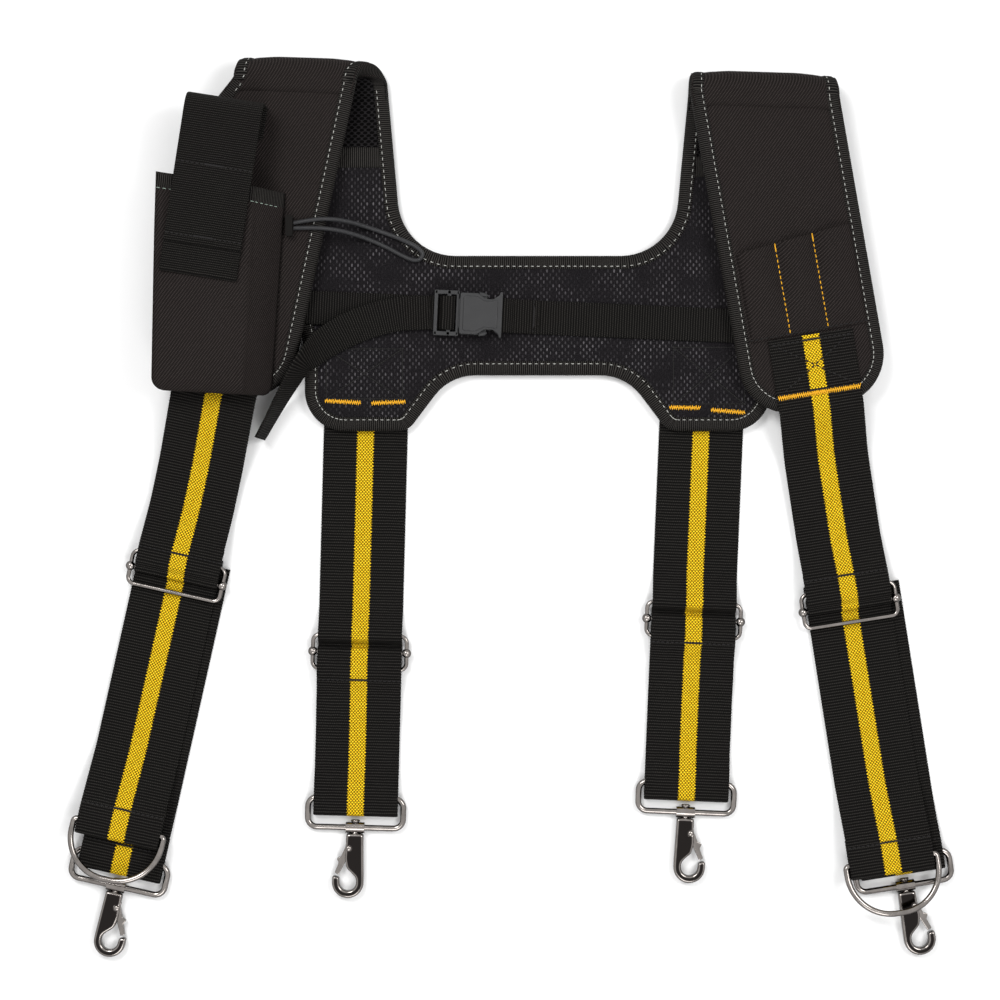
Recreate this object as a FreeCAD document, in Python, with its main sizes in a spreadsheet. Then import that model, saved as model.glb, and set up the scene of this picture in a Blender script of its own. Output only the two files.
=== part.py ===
"""Padded suspender harness of a carpenter's tool belt, laid flat, as a parametric document.

X runs to the wearer's side, Y up along the back, Z up from the table.
The origin is on the underside of the yoke, at its centre.
Straps and hardware are drawn in a strap frame: x across the strap, y up along it, z up.
"""
import FreeCAD, Part
import math
import os

from FreeCAD import Placement, Rotation, Vector

doc = FreeCAD.newDocument("harness")

# ---------------------------------------------------------------- driving dimensions

SIZES = {
    # padded back yoke
    "shell_thick": 2.2, "foam_thick": 5.0, "lining_thick": 1.6,
    "tape_thick": 1.0, "tape_width": 8.0,
    "neck_half_width": 80.0, "neck_depth_level": 35.4, "neck_corner": 34.0,
    "shoulder_inner": 89.0, "shoulder_outer": 172.0, "shoulder_level": 133.0,
    "yoke_half_width": 138.0, "flare_level": -20.0, "flare_corner": 60.0,
    "lobe_inner": 77.0, "lobe_level": -68.5, "lobe_outer_corner": 24.0,
    "lobe_inner_corner": 12.0,
    "waist_half_width": 52.0, "waist_level": -35.4, "waist_corner": 30.0,
    # shoulder bends and front pads
    "fold_gap": 3.6, "fold_shift": 4.0, "bend_play": 0.1,
    "pad_width": 86.0, "pad_length": 187.0, "pad_corner": 30.0, "pad_tilt": 1.8,
    "left_pad_at": -150.0, "left_pad_turn": -12.3, "left_pad_tuck": 15.0, "tuck_drop": 30.0,
    "right_pad_at": 132.5, "right_pad_turn": 10.2,
    "fold_slant": 1.8,
    # webbing
    "web_width": 50.0, "web_thick": 1.5, "web_play": 0.2, "chest_width": 20.0,
    "anchor_length": 34.0, "stitch_length": 20.0,
    # slider
    "slider_wire": 2.5, "slider_width": 55.5, "slider_half_height": 10.0,
    "bar_ball": 5.6, "wire_play": 0.05,
    # base ring, swivel and hook
    "ring_wire": 3.5, "ring_width": 56.5, "ring_height": 17.5, "ring_corner": 5.5,
    "loop_slack": 7.5,
    "barrel_width": 11.0, "barrel_depth": 6.2, "barrel_height": 6.4,
    "post_radius": 1.8, "post_head": 2.8, "post_head_thick": 1.4, "post_play": 0.15,
    "hook_thick": 6.0, "hook_shank_half": 5.1, "hook_length": 41.8, "hook_eye": 9.4,
    "hook_gap": 5.0, "gate_thick": 3.0, "gate_play": 0.3, "gate_pin": 1.2,
    # belt ring on the tail of each front strap
    "dring_width": 54.0, "dring_corner": 2.0, "dring_depth": 31.0, "dring_level": 10.8,
    "dring_tilt": 9.0,
    # chest strap and buckle
    "chest_level": 10.05, "chest_turn": -2.5, "buckle_at": -33.6,
    "chest_left_end": -122.0, "chest_right_end": 162.0,
    "buckle_width": 27.0, "buckle_length": 25.0, "buckle_thick": 9.0, "buckle_base": 0.9,
    "buckle_wall": 1.5, "buckle_bar": 3.0, "ladder_thick": 2.8, "arm_thick": 4.2,
    # pouch, flap and pencil pocket
    "pouch_depth": 20.0, "pouch_mouth_half": 37.5, "pouch_foot_half": 33.0,
    "pouch_length": 119.0, "pouch_slant": 4.0, "pouch_wall": 1.8, "pouch_turn": -3.0,
    "flap_length": 101.0, "flap_seat": 16.0, "hinge_at": 2.0, "hinge_gap": 1.7,
    "flap_turn": -9.0, "flap_width": 45.0, "patch_thick": 1.0, "patch_length": 26.0,
    "pocket_wall": 0.9, "pencil_bore": 5.6, "pencil_slot": 21.6, "pocket_length": 56.0, "pocket_reach": 33.0,
    "pocket_start": 86.5,
    # elastic cord
    "cord_diameter": 2.6,
}

sheet = doc.addObject("Spreadsheet::Sheet", "Sizes")
for row, (alias, value) in enumerate(SIZES.items(), start=1):
    sheet.set(f"A{row}", alias)
    sheet.set(f"B{row}", str(value))
    sheet.setAlias(f"B{row}", alias)
doc.recompute()


class Sizes:
    """The sheet's values, read by their alias."""

    def __getattr__(self, alias):
        return float(getattr(sheet, alias))


dim = Sizes()

# ---------------------------------------------------------------- outlines


def corner(before, here, after, radius):
    """Start, middle and end of the arc that rounds one corner."""
    to_before = (before - here).normalize()
    to_after = (after - here).normalize()
    half = to_before.getAngle(to_after) / 2
    reach = radius / math.tan(half)
    middle = (to_before + to_after).normalize()
    nearest = radius / math.sin(half) - radius
    return here + to_before * reach, here + middle * nearest, here + to_after * reach


def outline(points):
    """Closed outline through (x, y, radius) corners, as lines and arcs."""
    spots = [Vector(x, y, 0) for x, y, _ in points]
    curves = []
    starts, ends = [], []
    for index, (_, _, radius) in enumerate(points):
        here = spots[index]
        if radius <= 0:
            starts.append(here)
            ends.append(here)
            curves.append(None)
            continue
        after = spots[(index + 1) % len(spots)]
        start, middle, end = corner(spots[index - 1], here, after, radius)
        starts.append(start)
        ends.append(end)
        curves.append(Part.Arc(start, middle, end))
    result = []
    for index in range(len(points)):
        if curves[index] is not None:
            result.append(curves[index])
        following = starts[(index + 1) % len(points)]
        if ends[index].distanceToPoint(following) > 1e-6:
            result.append(Part.LineSegment(ends[index], following))
    return result


def strip(points, thickness):
    """Corners of a strip of one thickness along an open centre line of (y, z, radius)."""
    spots = [Vector(y, z, 0) for y, z, _ in points]
    ways = [(b - a).normalize() for a, b in zip(spots, spots[1:])]
    normals = [Vector(-way.y, way.x, 0) for way in ways]
    sides = []
    for sign in (1, -1):
        side = []
        for index, (_, _, radius) in enumerate(points):
            if index == 0:
                shift, bend = normals[0], 0
            elif index == len(points) - 1:
                shift, bend = normals[-1], 0
            else:
                one, two = normals[index - 1], normals[index]
                shift = (one + two) * (1 / (1 + one.dot(two)))
                turn = ways[index - 1].cross(ways[index]).z
                bend = radius - sign * math.copysign(thickness / 2, turn)
            spot = spots[index] + shift * (sign * thickness / 2)
            side.append((spot.x, spot.y, bend))
        sides.append(side)
    return sides[0] + sides[1][::-1]


def inset(points, distance):
    """The same closed outline, moved inwards. Corners run anticlockwise."""
    spots = [Vector(x, y, 0) for x, y, _ in points]
    count = len(spots)
    moved = []
    for index, (_, _, radius) in enumerate(points):
        way_in = (spots[index] - spots[index - 1]).normalize()
        way_out = (spots[(index + 1) % count] - spots[index]).normalize()
        one = Vector(-way_in.y, way_in.x, 0)
        two = Vector(-way_out.y, way_out.x, 0)
        shift = (one + two) * (distance / (1 + one.dot(two)))
        turn = way_in.cross(way_out).z
        bend = radius - math.copysign(distance, turn) if radius > 0 else 0
        moved.append((spots[index].x + shift.x, spots[index].y + shift.y, max(bend, 0)))
    return moved


# ---------------------------------------------------------------- features


def plane(body, role):
    return next(item for item in body.Origin.OriginFeatures if item.Role == role)


def sketch_on(body, role, curves, name, offset=Vector()):
    sketch = body.newObject("Sketcher::SketchObject", name)
    sketch.AttachmentSupport = [(plane(body, role), "")]
    sketch.MapMode = "FlatFace"
    sketch.AttachmentOffset = Placement(offset, Rotation())
    for curve in curves:
        sketch.addGeometry(curve, False)
    return sketch


def new_body(label, place=Placement()):
    body = doc.addObject("PartDesign::Body", label)
    body.Label = label
    body.Placement = place
    return body


def pad(body, sketch, length, symmetric=False):
    """Adds material. Length is an expression in the sheet's names."""
    feature = body.newObject("PartDesign::Pad", "pad")
    feature.Profile = sketch
    feature.SideType = "Symmetric" if symmetric else "One side"
    feature.setExpression("Length", length)
    return feature


def pocket(body, sketch, length, symmetric=False, upwards=False):
    """Takes material away."""
    feature = body.newObject("PartDesign::Pocket", "pocket")
    feature.Profile = sketch
    feature.SideType = "Symmetric" if symmetric else "One side"
    feature.Reversed = upwards
    feature.setExpression("Length", length)
    return feature


def sheet_of(name):
    return "Sizes." + name


def band(label, points, place, width="web_width", thickness=None):
    """A piece of webbing: its side view, as wide as its strap."""
    body = new_body(label, place)
    curves = outline(strip(points, thickness or dim.web_thick))
    pad(body, sketch_on(body, "YZ_Plane", curves, "side_view"), sheet_of(width), True)
    return body


def layer(label, corners, place, height, lift=0.0):
    """A flat layer of an outline, from lift up by height."""
    body = new_body(label, place)
    pad(body, sketch_on(body, "XY_Plane", outline(corners), "outline", Vector(0, 0, lift)),
        height)
    return body


def wire_loop(body, corners, radius):
    """A closed round wire in the body's XY plane. Its first corner lies on the Y axis."""
    path = outline(corners)
    spine = sketch_on(body, "XY_Plane", path, "path")
    start = Vector(corners[0][1], 0, 0)
    section = sketch_on(body, "YZ_Plane", [Part.Circle(start, Vector(0, 0, 1), radius)],
                        "section")
    pipe = body.newObject("PartDesign::AdditivePipe", "wire")
    pipe.Profile = section
    pipe.Spine = (spine, ["Edge%d" % (i + 1) for i in range(len(path))])
    return pipe


# ---------------------------------------------------------------- yoke

panel_thick = "Sizes.shell_thick + Sizes.foam_thick + Sizes.lining_thick"
panel = dim.shell_thick + dim.foam_thick + dim.lining_thick


def yoke_corners():
    """Anticlockwise from the left side of the neck. None stands for the shoulder fold."""
    right = [
        (dim.neck_half_width, dim.neck_depth_level, dim.neck_corner),
        (dim.shoulder_inner, None, 0),
        (dim.shoulder_outer, None, 0),
        (dim.yoke_half_width, dim.flare_level, dim.flare_corner),
        (dim.yoke_half_width, dim.lobe_level, dim.lobe_outer_corner),
        (dim.lobe_inner, dim.lobe_level, dim.lobe_inner_corner),
        (dim.waist_half_width, dim.waist_level, dim.waist_corner),
    ]
    left = [(-x, y, r) for x, y, r in right]
    whole = left + right[::-1]
    return [(x, fold_level(x) - dim.bend_play if y is None else y, r) for x, y, r in whole]


def fold_level(across):
    """How far up the shoulder fold lies, which is not quite square to the back."""
    return dim.shoulder_level - math.tan(math.radians(dim.fold_slant)) * across


STRAPS_BACK = {
    "left": {"anchor": (-102.0, -64.9), "turn": -1.5, "slider": -134.5, "ring": -221.0,
             "gate": -1},
    "right": {"anchor": (97.0, -67.9), "turn": -2.4, "slider": -112.5, "ring": -209.0,
              "gate": 1},
}


def pad_end(side, across, along):
    """A spot near the middle of a front pad's lower end."""
    at = {"left": dim.left_pad_at, "right": dim.right_pad_at}[side]
    turn = math.radians({"left": dim.left_pad_turn, "right": dim.right_pad_turn}[side])
    return (at + dim.pad_length * math.sin(turn) + across,
            fold_level(at) - dim.pad_length * math.cos(turn) + along)


STRAPS_FRONT = {
    "left": {"anchor": pad_end("left", -1.16, -6.51), "turn": -12.6, "slider": -105.0, "ring": -275.0,
             "dring": -257.0, "shift": 5.0, "edge": 1.0},
    "right": {"anchor": pad_end("right", -1.11, 9.21), "turn": 9.0, "slider": -127.0, "ring": -279.0,
              "dring": -279.0, "shift": 7.0, "edge": -10.0},
}


def strap_place(strap, level=0.0):
    """Frame at the strap's anchor, its y up along the strap."""
    x, y = strap["anchor"]
    return Placement(Vector(x, y, level), Rotation(Vector(0, 0, 1), strap["turn"]))


def build_yoke():
    """Outer shell, foam and lining, held at their rim by a folded tape."""
    corners = yoke_corners()
    tape = dim.tape_thick
    whole = Placement()

    shell = layer("yoke_shell", inset(corners, tape), whole, sheet_of("shell_thick"))
    groove = sketch_on(shell, "XY_Plane",
                       outline(inset(corners, -tape)) + outline(inset(corners, dim.tape_width)),
                       "rim")
    pocket(shell, groove, sheet_of("tape_thick"), upwards=True)
    for side, strap in STRAPS_BACK.items():
        notch(shell, strap, "anchor_" + side)

    layer("yoke_foam", inset(corners, tape), whole, sheet_of("foam_thick"), dim.shell_thick)

    lining_base = dim.shell_thick + dim.foam_thick
    lining = layer("yoke_lining", inset(corners, tape), whole, sheet_of("lining_thick"),
                   lining_base)
    upper = sketch_on(lining, "XY_Plane",
                      outline(inset(corners, -tape)) + outline(inset(corners, dim.tape_width)),
                      "rim", Vector(0, 0, panel))
    pocket(lining, upper, sheet_of("tape_thick"))

    binding = layer("yoke_binding", corners, whole, panel_thick)
    middle = sketch_on(binding, "XY_Plane", outline(inset(corners, dim.tape_width)), "middle",
                       Vector(0, 0, panel))
    pocket(binding, middle, panel_thick)
    slot = sketch_on(binding, "XY_Plane", outline(inset(corners, tape)), "slot",
                     Vector(0, 0, tape))
    pocket(binding, slot, panel_thick + " - 2 * Sizes.tape_thick", upwards=True)
    for side, strap in STRAPS_BACK.items():
        notch(binding, strap, "anchor_" + side)


def notch(body, strap, name):
    """Shallow seat in the underside for a strap's sewn end."""
    play = dim.web_play
    half = dim.web_width / 2 + play
    x, y = strap["anchor"]
    turn = Rotation(Vector(0, 0, 1), strap["turn"])
    spots = [(-half, -dim.anchor_length), (half, -dim.anchor_length),
             (half, dim.anchor_length + play), (-half, dim.anchor_length + play)]
    corners = []
    for across, along in spots:
        spot = turn.multVec(Vector(across, along, 0))
        corners.append((x + spot.x, y + spot.y, 0))
    seat = sketch_on(body, "XY_Plane", outline(corners), name)
    pocket(body, seat, "Sizes.web_thick + Sizes.web_play", upwards=True)


# ---------------------------------------------------------------- shoulder bends and pads


def fold_place():
    """Frame on the shoulder fold's axis: x along the fold, y to the front of the bend."""
    height = panel + dim.fold_gap
    return Placement(Vector(0, dim.shoulder_level, height),
                     Rotation(Vector(0, 0, 1), -dim.fold_slant))


def build_bends():
    """The padded panel where it turns over each shoulder."""
    inner, outer = dim.fold_gap + dim.bend_play, dim.fold_gap + panel - dim.bend_play
    start = dim.bend_play
    half = [
        Part.Arc(Vector(start, -outer, 0), Vector(start + outer, 0, 0), Vector(start, outer, 0)),
        Part.LineSegment(Vector(start, outer, 0), Vector(start, inner, 0)),
        Part.Arc(Vector(start, inner, 0), Vector(start + inner, 0, 0), Vector(start, -inner, 0)),
        Part.LineSegment(Vector(start, -inner, 0), Vector(start, -outer, 0)),
    ]
    for side, sign, shift in (("left", -1, dim.fold_shift), ("right", 1, 0)):
        middle = sign * ((dim.shoulder_inner + dim.shoulder_outer) / 2 + shift)
        body = new_body("shoulder_bend_" + side, fold_place())
        section = sketch_on(body, "YZ_Plane", half, "section", Vector(0, 0, middle))
        pad(body, section, "Sizes.shoulder_outer - Sizes.shoulder_inner", True)


def pad_place(side):
    """Frame of a front pad: its top edge on the fold, its face tilted to the table."""
    across = {"left": dim.left_pad_at, "right": dim.right_pad_at}[side]
    turn = {"left": dim.left_pad_turn, "right": dim.right_pad_turn}[side]
    level = panel + 2 * dim.fold_gap
    tilt = Placement(Vector(across, fold_level(across), level),
                     Rotation(Vector(1, 0, 0), dim.pad_tilt))
    return tilt.multiply(Placement(Vector(), Rotation(Vector(0, 0, 1), turn)))


def pad_corners(side):
    """Its top edge follows the fold, which is not square to the pad."""
    half, low, bend = dim.pad_width / 2, -dim.pad_length, dim.pad_corner
    turn = {"left": dim.left_pad_turn, "right": dim.right_pad_turn}[side]
    rise = -math.tan(math.radians(dim.fold_slant + turn)) * half
    play = dim.bend_play
    rest = [(-half, low, bend), (half, low, bend), (half, rise - play, 0)]
    if side == "right":
        return [(-half, -rise - play, 0)] + rest
    start = -half + dim.left_pad_tuck
    top = rise * start / half - play
    return [(start, top, 0), (-half, top - dim.tuck_drop, dim.pad_corner)] + rest


def build_pads():
    for side in ("left", "right"):
        corners = pad_corners(side)
        tape = dim.tape_thick
        place = pad_place(side)
        core = layer("front_pad_" + side, inset(corners, tape), place, panel_thick)
        for name, level, up in (("rim_low", 0.0, True), ("rim_top", panel, False)):
            rim = outline(inset(corners, -tape)) + outline(inset(corners, dim.tape_width))
            pocket(core, sketch_on(core, "XY_Plane", rim, name, Vector(0, 0, level)),
                   sheet_of("tape_thick"), upwards=up)
        binding = layer("front_binding_" + side, corners, place, panel_thick)
        middle = outline(inset(corners, dim.tape_width))
        pocket(binding, sketch_on(binding, "XY_Plane", middle, "middle", Vector(0, 0, panel)),
               panel_thick)
        slot = outline(inset(corners, tape))
        pocket(binding, sketch_on(binding, "XY_Plane", slot, "slot", Vector(0, 0, tape)),
               panel_thick + " - 2 * Sizes.tape_thick", upwards=True)


# ---------------------------------------------------------------- webbing

web = dim.web_thick
lap = dim.web_thick + dim.web_play / 2          # from one layer's middle to the next
hug = dim.slider_wire / 2 + dim.wire_play + web / 2    # from a slider bar's axis to webbing
low = web / 2                                   # middle of the layer on the table
ring_radius = dim.ring_wire / 2
ring_hug = ring_radius + 2 * dim.wire_play + web / 2   # from a ring bar's axis to webbing
ring_level = low + ring_hug
bar_gap = dim.slider_half_height
back_level = low + lap + dim.wire_play + hug           # slider plane of a rear strap
front_level = back_level + lap                         # slider plane of a front strap
HOOK_END = dim.loop_slack + ring_hug                   # how far a loop reaches past its bar


def rear_upper(strap):
    """From the yoke, over the slider's top bar and down under its centre bar."""
    top = back_level + hug
    mid = strap["slider"]
    return [
        (dim.anchor_length, low, 0), (mid + bar_gap + 16, low, 8),
        (mid + bar_gap + 2.5, top, 4), (mid + bar_gap - 1.8, top, 2),
        (mid + bar_gap / 2, low, 1.5), (mid - 1, low, 0),
    ]


def rear_lower(strap):
    """Under the slider, round the ring, back up and folded round the centre bar."""
    mid, ring = strap["slider"], strap["ring"]
    second = low + lap
    third = second + lap
    high = ring_level + ring_hug
    end = ring - HOOK_END
    over = back_level + hug
    return [
        (mid - 1 - dim.wire_play, low, 0), (end, low, ring_hug), (end, high, ring_hug),
        (ring + 6, high, 6), (ring + 18, second, 6),
        (mid - 45, second, 8), (mid - 37, third, 8), (mid - 23, third, 8),
        (mid - bar_gap - 3, over + lap + 0.05, 3), (mid - bar_gap + 3.5, over + lap + 0.05, 3),
        (mid - 1, over, 2.5), (mid + hug, over, hug), (mid + hug, back_level - hug, hug),
        (mid - 2, back_level - hug, 1.2), (mid - bar_gap + 2, over, 1.5),
        (mid - bar_gap - 2.5, over, 3), (mid - bar_gap - 11, second, 4),
        (mid - bar_gap - 4 - dim.stitch_length, second, 0),
    ]


def front_upper(strap, pad_low, pad_high):
    """Sewn on the pad, over the slider's top bar and folded round its centre bar."""
    mid = strap["slider"]
    over = front_level + hug
    doubled = over + lap
    sag = low + lap + 2.0
    return [
        (dim.anchor_length, pad_high, 0), (strap["edge"], pad_low, 10), (-38, sag + 2, 30),
        (mid + 40, sag, 25), (mid + bar_gap + 5, doubled + lap, 6),
        (mid + bar_gap / 2 - 0.4, doubled + lap, 1.2), (mid + 1.1, over, 1.0),
        (mid - hug, over, hug), (mid - hug, front_level - hug, hug),
        (mid + 1.2, front_level - hug, 1.0), (mid + bar_gap / 2 + 0.3, doubled, 1.2),
        (mid + bar_gap + 3, doubled, 4), (mid + bar_gap + 11, doubled - 2.2, 0),
    ]


def front_run(strap):
    """From the slider down to the hook's ring, its end sewn back underneath."""
    mid, ring = strap["slider"], strap["ring"]
    high = ring_level + ring_hug
    end = ring - HOOK_END
    return [
        (mid + bar_gap, low, 0), (ring + 34, low, 8), (ring + 20, low + lap, 8),
        (ring + 5, high, 8), (end, high, ring_hug), (end, low, ring_hug), (ring + 16, low, 0),
    ]


def front_tail(strap):
    """Round the top bar, under the rest of the slider and down to the belt ring."""
    mid, ring = strap["slider"], strap["dring"]
    over = front_level + hug
    second = low + lap
    wrap = (over - low) / 2
    above, below = dim.dring_level + ring_hug, dim.dring_level - ring_hug
    end = ring - 5 - ring_hug
    return [
        (mid + bar_gap + dim.wire_play, low, 0), (mid + bar_gap + wrap + 0.3, low, wrap - 0.1),
        (mid + bar_gap + wrap + 0.3, over, wrap - 0.1), (mid + bar_gap - 1.6, over, 2),
        (mid + bar_gap / 2 + 0.4, second, 1.5), (ring + 46, second, 30),
        (ring + 8, above, 12), (end, above, ring_hug), (end, below, ring_hug),
        (ring + 4, below, 12), (ring + 15, below + 0.5, 0),
    ]


# ---------------------------------------------------------------- metal


def build_slider(label, place, level):
    """A bent wire frame and a centre bar whose ball ends slide on its side wires."""
    half, rise = dim.slider_width / 2, dim.slider_half_height
    frame = new_body("slider_frame_" + label, place.multiply(Placement(Vector(0, 0, level),
                                                                       Rotation())))
    wire_loop(frame, [(0, -rise, 0), (half, -rise, 4), (half, rise, 4), (-half, rise, 4),
                      (-half, -rise, 4)], dim.slider_wire / 2)
    bar = new_body("slider_bar_" + label, frame.Placement)
    ball = dim.bar_ball / 2
    rod = dim.slider_wire / 2
    reach = half + ball
    neck = half - math.sqrt(ball ** 2 - rod ** 2)
    profile = [
        Part.LineSegment(Vector(-reach, 0, 0), Vector(reach, 0, 0)),
        Part.Arc(Vector(reach, 0, 0), Vector(half, ball, 0), Vector(neck, rod, 0)),
        Part.LineSegment(Vector(neck, rod, 0), Vector(-neck, rod, 0)),
        Part.Arc(Vector(-neck, rod, 0), Vector(-half, ball, 0), Vector(-reach, 0, 0)),
    ]
    turned = bar.newObject("PartDesign::Revolution", "turned")
    turned.Profile = sketch_on(bar, "XY_Plane", profile, "profile")
    turned.ReferenceAxis = (plane(bar, "X_Axis"), [""])
    turned.Angle = 360
    doc.recompute()
    holes = [Part.Circle(Vector(side * half, 0, 0), Vector(0, 0, 1), rod + dim.wire_play)
             for side in (-1, 1)]
    pocket(bar, sketch_on(bar, "XZ_Plane", holes, "wire_holes"), "Sizes.bar_ball * 2", True)


def build_ring(label, place):
    """Base ring of a hook, with the barrel in which the hook turns."""
    half, depth, bend = dim.ring_width / 2, dim.ring_height, dim.ring_corner
    ring = new_body("base_ring_" + label, place)
    wire_loop(ring, [(0, -depth, 0), (half, -depth, bend), (half, 0, bend), (-half, 0, bend),
                     (-half, -depth, bend)], dim.ring_wire / 2)
    barrel = [Part.Circle(Vector(-depth, 0, 0), Vector(0, 0, 1), dim.barrel_height / 2)]
    pad(ring, sketch_on(ring, "YZ_Plane", barrel, "barrel"), sheet_of("barrel_width"), True)
    bore = [Part.Circle(Vector(), Vector(0, 0, 1), dim.post_radius + dim.post_play)]
    hole = sketch_on(ring, "XZ_Plane", bore, "bore", Vector(0, 0, depth))
    pocket(ring, hole, sheet_of("ring_height"), True)


GATE_PIVOT = (3.4, -12.2)
GATE_WAY = (0.404, -0.915)


def hook_corners():
    """Outline of the cast hook, its mouth to the right."""
    eye, gap, tip = dim.hook_eye, dim.hook_gap, -dim.hook_length
    left = -5.9
    right = left + 2 * eye
    bed = tip + (eye - gap + 0.1)
    hole_left = left + (eye - gap + 0.1)
    hole_right = right - (eye - gap + 0.1)
    bend = (hole_right - hole_left) / 2 - 0.01
    return [
        (-dim.hook_shank_half, -3.5, 1.0), (left, -30.0, 20), (left, tip, eye - 0.05),
        (right, tip, eye - 0.05), (right, -28.2, 1.2), (hole_right, -29.3, 1.0),
        (hole_right, bed, bend), (hole_left, bed, bend), (hole_left, -29.6, 4.5),
        (4.6, -24.0, 4.0), (5.7, -18.5, 8.0), (dim.hook_shank_half, -3.5, 1.0),
    ]


def gate_corners():
    """Outline of the gate, its thumb tab outwards."""
    along = Vector(GATE_WAY[0], GATE_WAY[1], 0)
    outwards = Vector(-GATE_WAY[1], GATE_WAY[0], 0)
    spots = [(-2.3, -1.9, 1.5), (16.8, -1.3, 0.6), (16.8, 1.5, 0.8), (10.4, 1.7, 1.5),
             (8.4, 4.2, 0.9), (6.4, 2.1, 1.5), (-2.3, 2.2, 1.8)]
    pivot = Vector(GATE_PIVOT[0], GATE_PIVOT[1], 0)
    corners = []
    for forward, sideways, bend in spots:
        spot = pivot + along * forward + outwards * sideways
        corners.append((spot.x, spot.y, bend))
    return corners


def build_hook(label, place):
    """The hook with its swivel post, the gate and the gate's pin."""
    hook = new_body("hook_" + label, place)
    cast = pad(hook, sketch_on(hook, "XY_Plane", outline(hook_corners()), "outline"),
               sheet_of("hook_thick"), True)
    doc.recompute()
    rounded = hook.newObject("PartDesign::Fillet", "rounded")
    flat = [f"Face{i + 1}" for i, face in enumerate(cast.Shape.Faces)
            if abs(face.normalAt(0, 0).z) > 0.99]
    rounded.Base = (cast, flat)
    rounded.Radius = 1.3
    post = [Part.Circle(Vector(), Vector(0, 0, 1), dim.post_radius)]
    barrel = dim.barrel_height / 2
    foot = sketch_on(hook, "XZ_Plane", post, "post", Vector(0, 0, -barrel - 0.2))
    pad(hook, foot, "Sizes.barrel_height + 1.6")
    head = [Part.Circle(Vector(), Vector(0, 0, 1), dim.post_head)]
    pad(hook, sketch_on(hook, "XZ_Plane", head, "head", Vector(0, 0, -barrel - 0.2)),
        sheet_of("post_head_thick")).Reversed = True
    slot = [(0.2, -31.0, 0), (9.0, -31.0, 0), (9.0, -8.9, 0), (0.2, -8.9, 0)]
    pocket(hook, sketch_on(hook, "XY_Plane", outline(slot), "gate_slot"),
           "Sizes.gate_thick + 2 * Sizes.post_play", True)
    pivot = Vector(GATE_PIVOT[0], GATE_PIVOT[1], 0)
    pin_hole = [Part.Circle(pivot, Vector(0, 0, 1), dim.gate_pin)]
    pocket(hook, sketch_on(hook, "XY_Plane", pin_hole, "pin_hole"), "Sizes.hook_thick * 2", True)

    gate = new_body("gate_" + label, place)
    pad(gate, sketch_on(gate, "XY_Plane", outline(gate_corners()), "outline"),
        sheet_of("gate_thick"), True)
    eye = [Part.Circle(pivot, Vector(0, 0, 1), dim.gate_pin + dim.post_play)]
    pocket(gate, sketch_on(gate, "XY_Plane", eye, "eye"), "Sizes.gate_thick * 2", True)

    pin = new_body("gate_pin_" + label, place)
    pad(pin, sketch_on(pin, "XY_Plane", pin_hole, "pin"), sheet_of("hook_thick"), True)


def build_dring(label, place):
    """Belt ring, its straight bar in the webbing's fold."""
    half, depth = dim.dring_width / 2, dim.dring_depth
    ring = new_body("belt_ring_" + label, place)
    bend = dim.dring_corner
    wire_loop(ring, [(0, 0, 0), (-half, 0, bend), (-half, -depth, half - bend),
                     (half, -depth, half - bend), (half, 0, bend)], dim.ring_wire / 2)


def moved(place, across, along, up, turn=0.0):
    """A frame inside another, turned about its y axis."""
    return place.multiply(Placement(Vector(across, along, up),
                                    Rotation(Vector(0, 1, 0), turn)))


def build_straps():
    for side, strap in STRAPS_BACK.items():
        place = strap_place(strap)
        name = "rear_" + side
        band("rear_strap_" + side, rear_upper(strap), place)
        band("rear_loop_" + side, rear_lower(strap), place)
        build_slider(name, moved(place, 0, strap["slider"], 0), back_level)
        ring = moved(place, 0, strap["ring"], ring_level)
        build_ring(name, ring)
        turn = 0 if strap["gate"] > 0 else 180
        build_hook(name, moved(ring, 0, -dim.ring_height, 0, turn))
    for side, strap in STRAPS_FRONT.items():
        place = strap_place(strap)
        name = "front_" + side
        high = pad_face(side, place, dim.anchor_length)
        edge = pad_face(side, place, strap["edge"])
        band("front_strap_" + side, front_upper(strap, edge, high), place)
        shifted = moved(place, strap["shift"], 0, 0)
        band("front_run_" + side, front_run(strap), shifted)
        band("front_tail_" + side, front_tail(strap), place)
        build_slider(name, moved(place, 0, strap["slider"], 0), front_level)
        ring = moved(shifted, 0, strap["ring"], ring_level)
        build_ring(name, ring)
        build_hook(name, moved(ring, 0, -dim.ring_height, 0))
        build_dring(side, dring_place(strap))


def dring_place(strap):
    """The belt ring lies over the hook's ring, a little raised."""
    flat = moved(strap_place(strap), 0, strap["dring"], dim.dring_level)
    return flat.multiply(Placement(Vector(), Rotation(Vector(1, 0, 0), -dim.dring_tilt)))


def pad_face(side, place, along):
    """Middle of webbing that lies on a pad's face, at a spot of the strap's frame."""
    spot = place.multVec(Vector(0, along, 0))
    face = pad_place(side)
    tilt = math.tan(math.radians(dim.pad_tilt))
    return face.Base.z + panel + (spot.y - face.Base.y) * tilt + web / 2 + 2 * dim.web_play


# ---------------------------------------------------------------- pockets on the pads


def on_pad(side, x, y, lift, turn):
    """A frame on a front pad's face at a place seen from above."""
    face = pad_place(side)
    tilt = math.radians(dim.pad_tilt)
    z = face.Base.z + (y - face.Base.y) * math.tan(tilt)
    tipped = Placement(Vector(x, y, z), Rotation(Vector(1, 0, 0), dim.pad_tilt))
    return tipped.multiply(Placement(Vector(0, 0, panel + lift),
                                     Rotation(Vector(0, 0, 1), turn)))


POUCH_AT = (-183.2, 71.4)
FLAP_AT = (-180.5, 121.0)
CORD_TAB_AT = (-146.0, 51.2)
pouch_lift = dim.web_thick + 3 * dim.web_play


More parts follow.
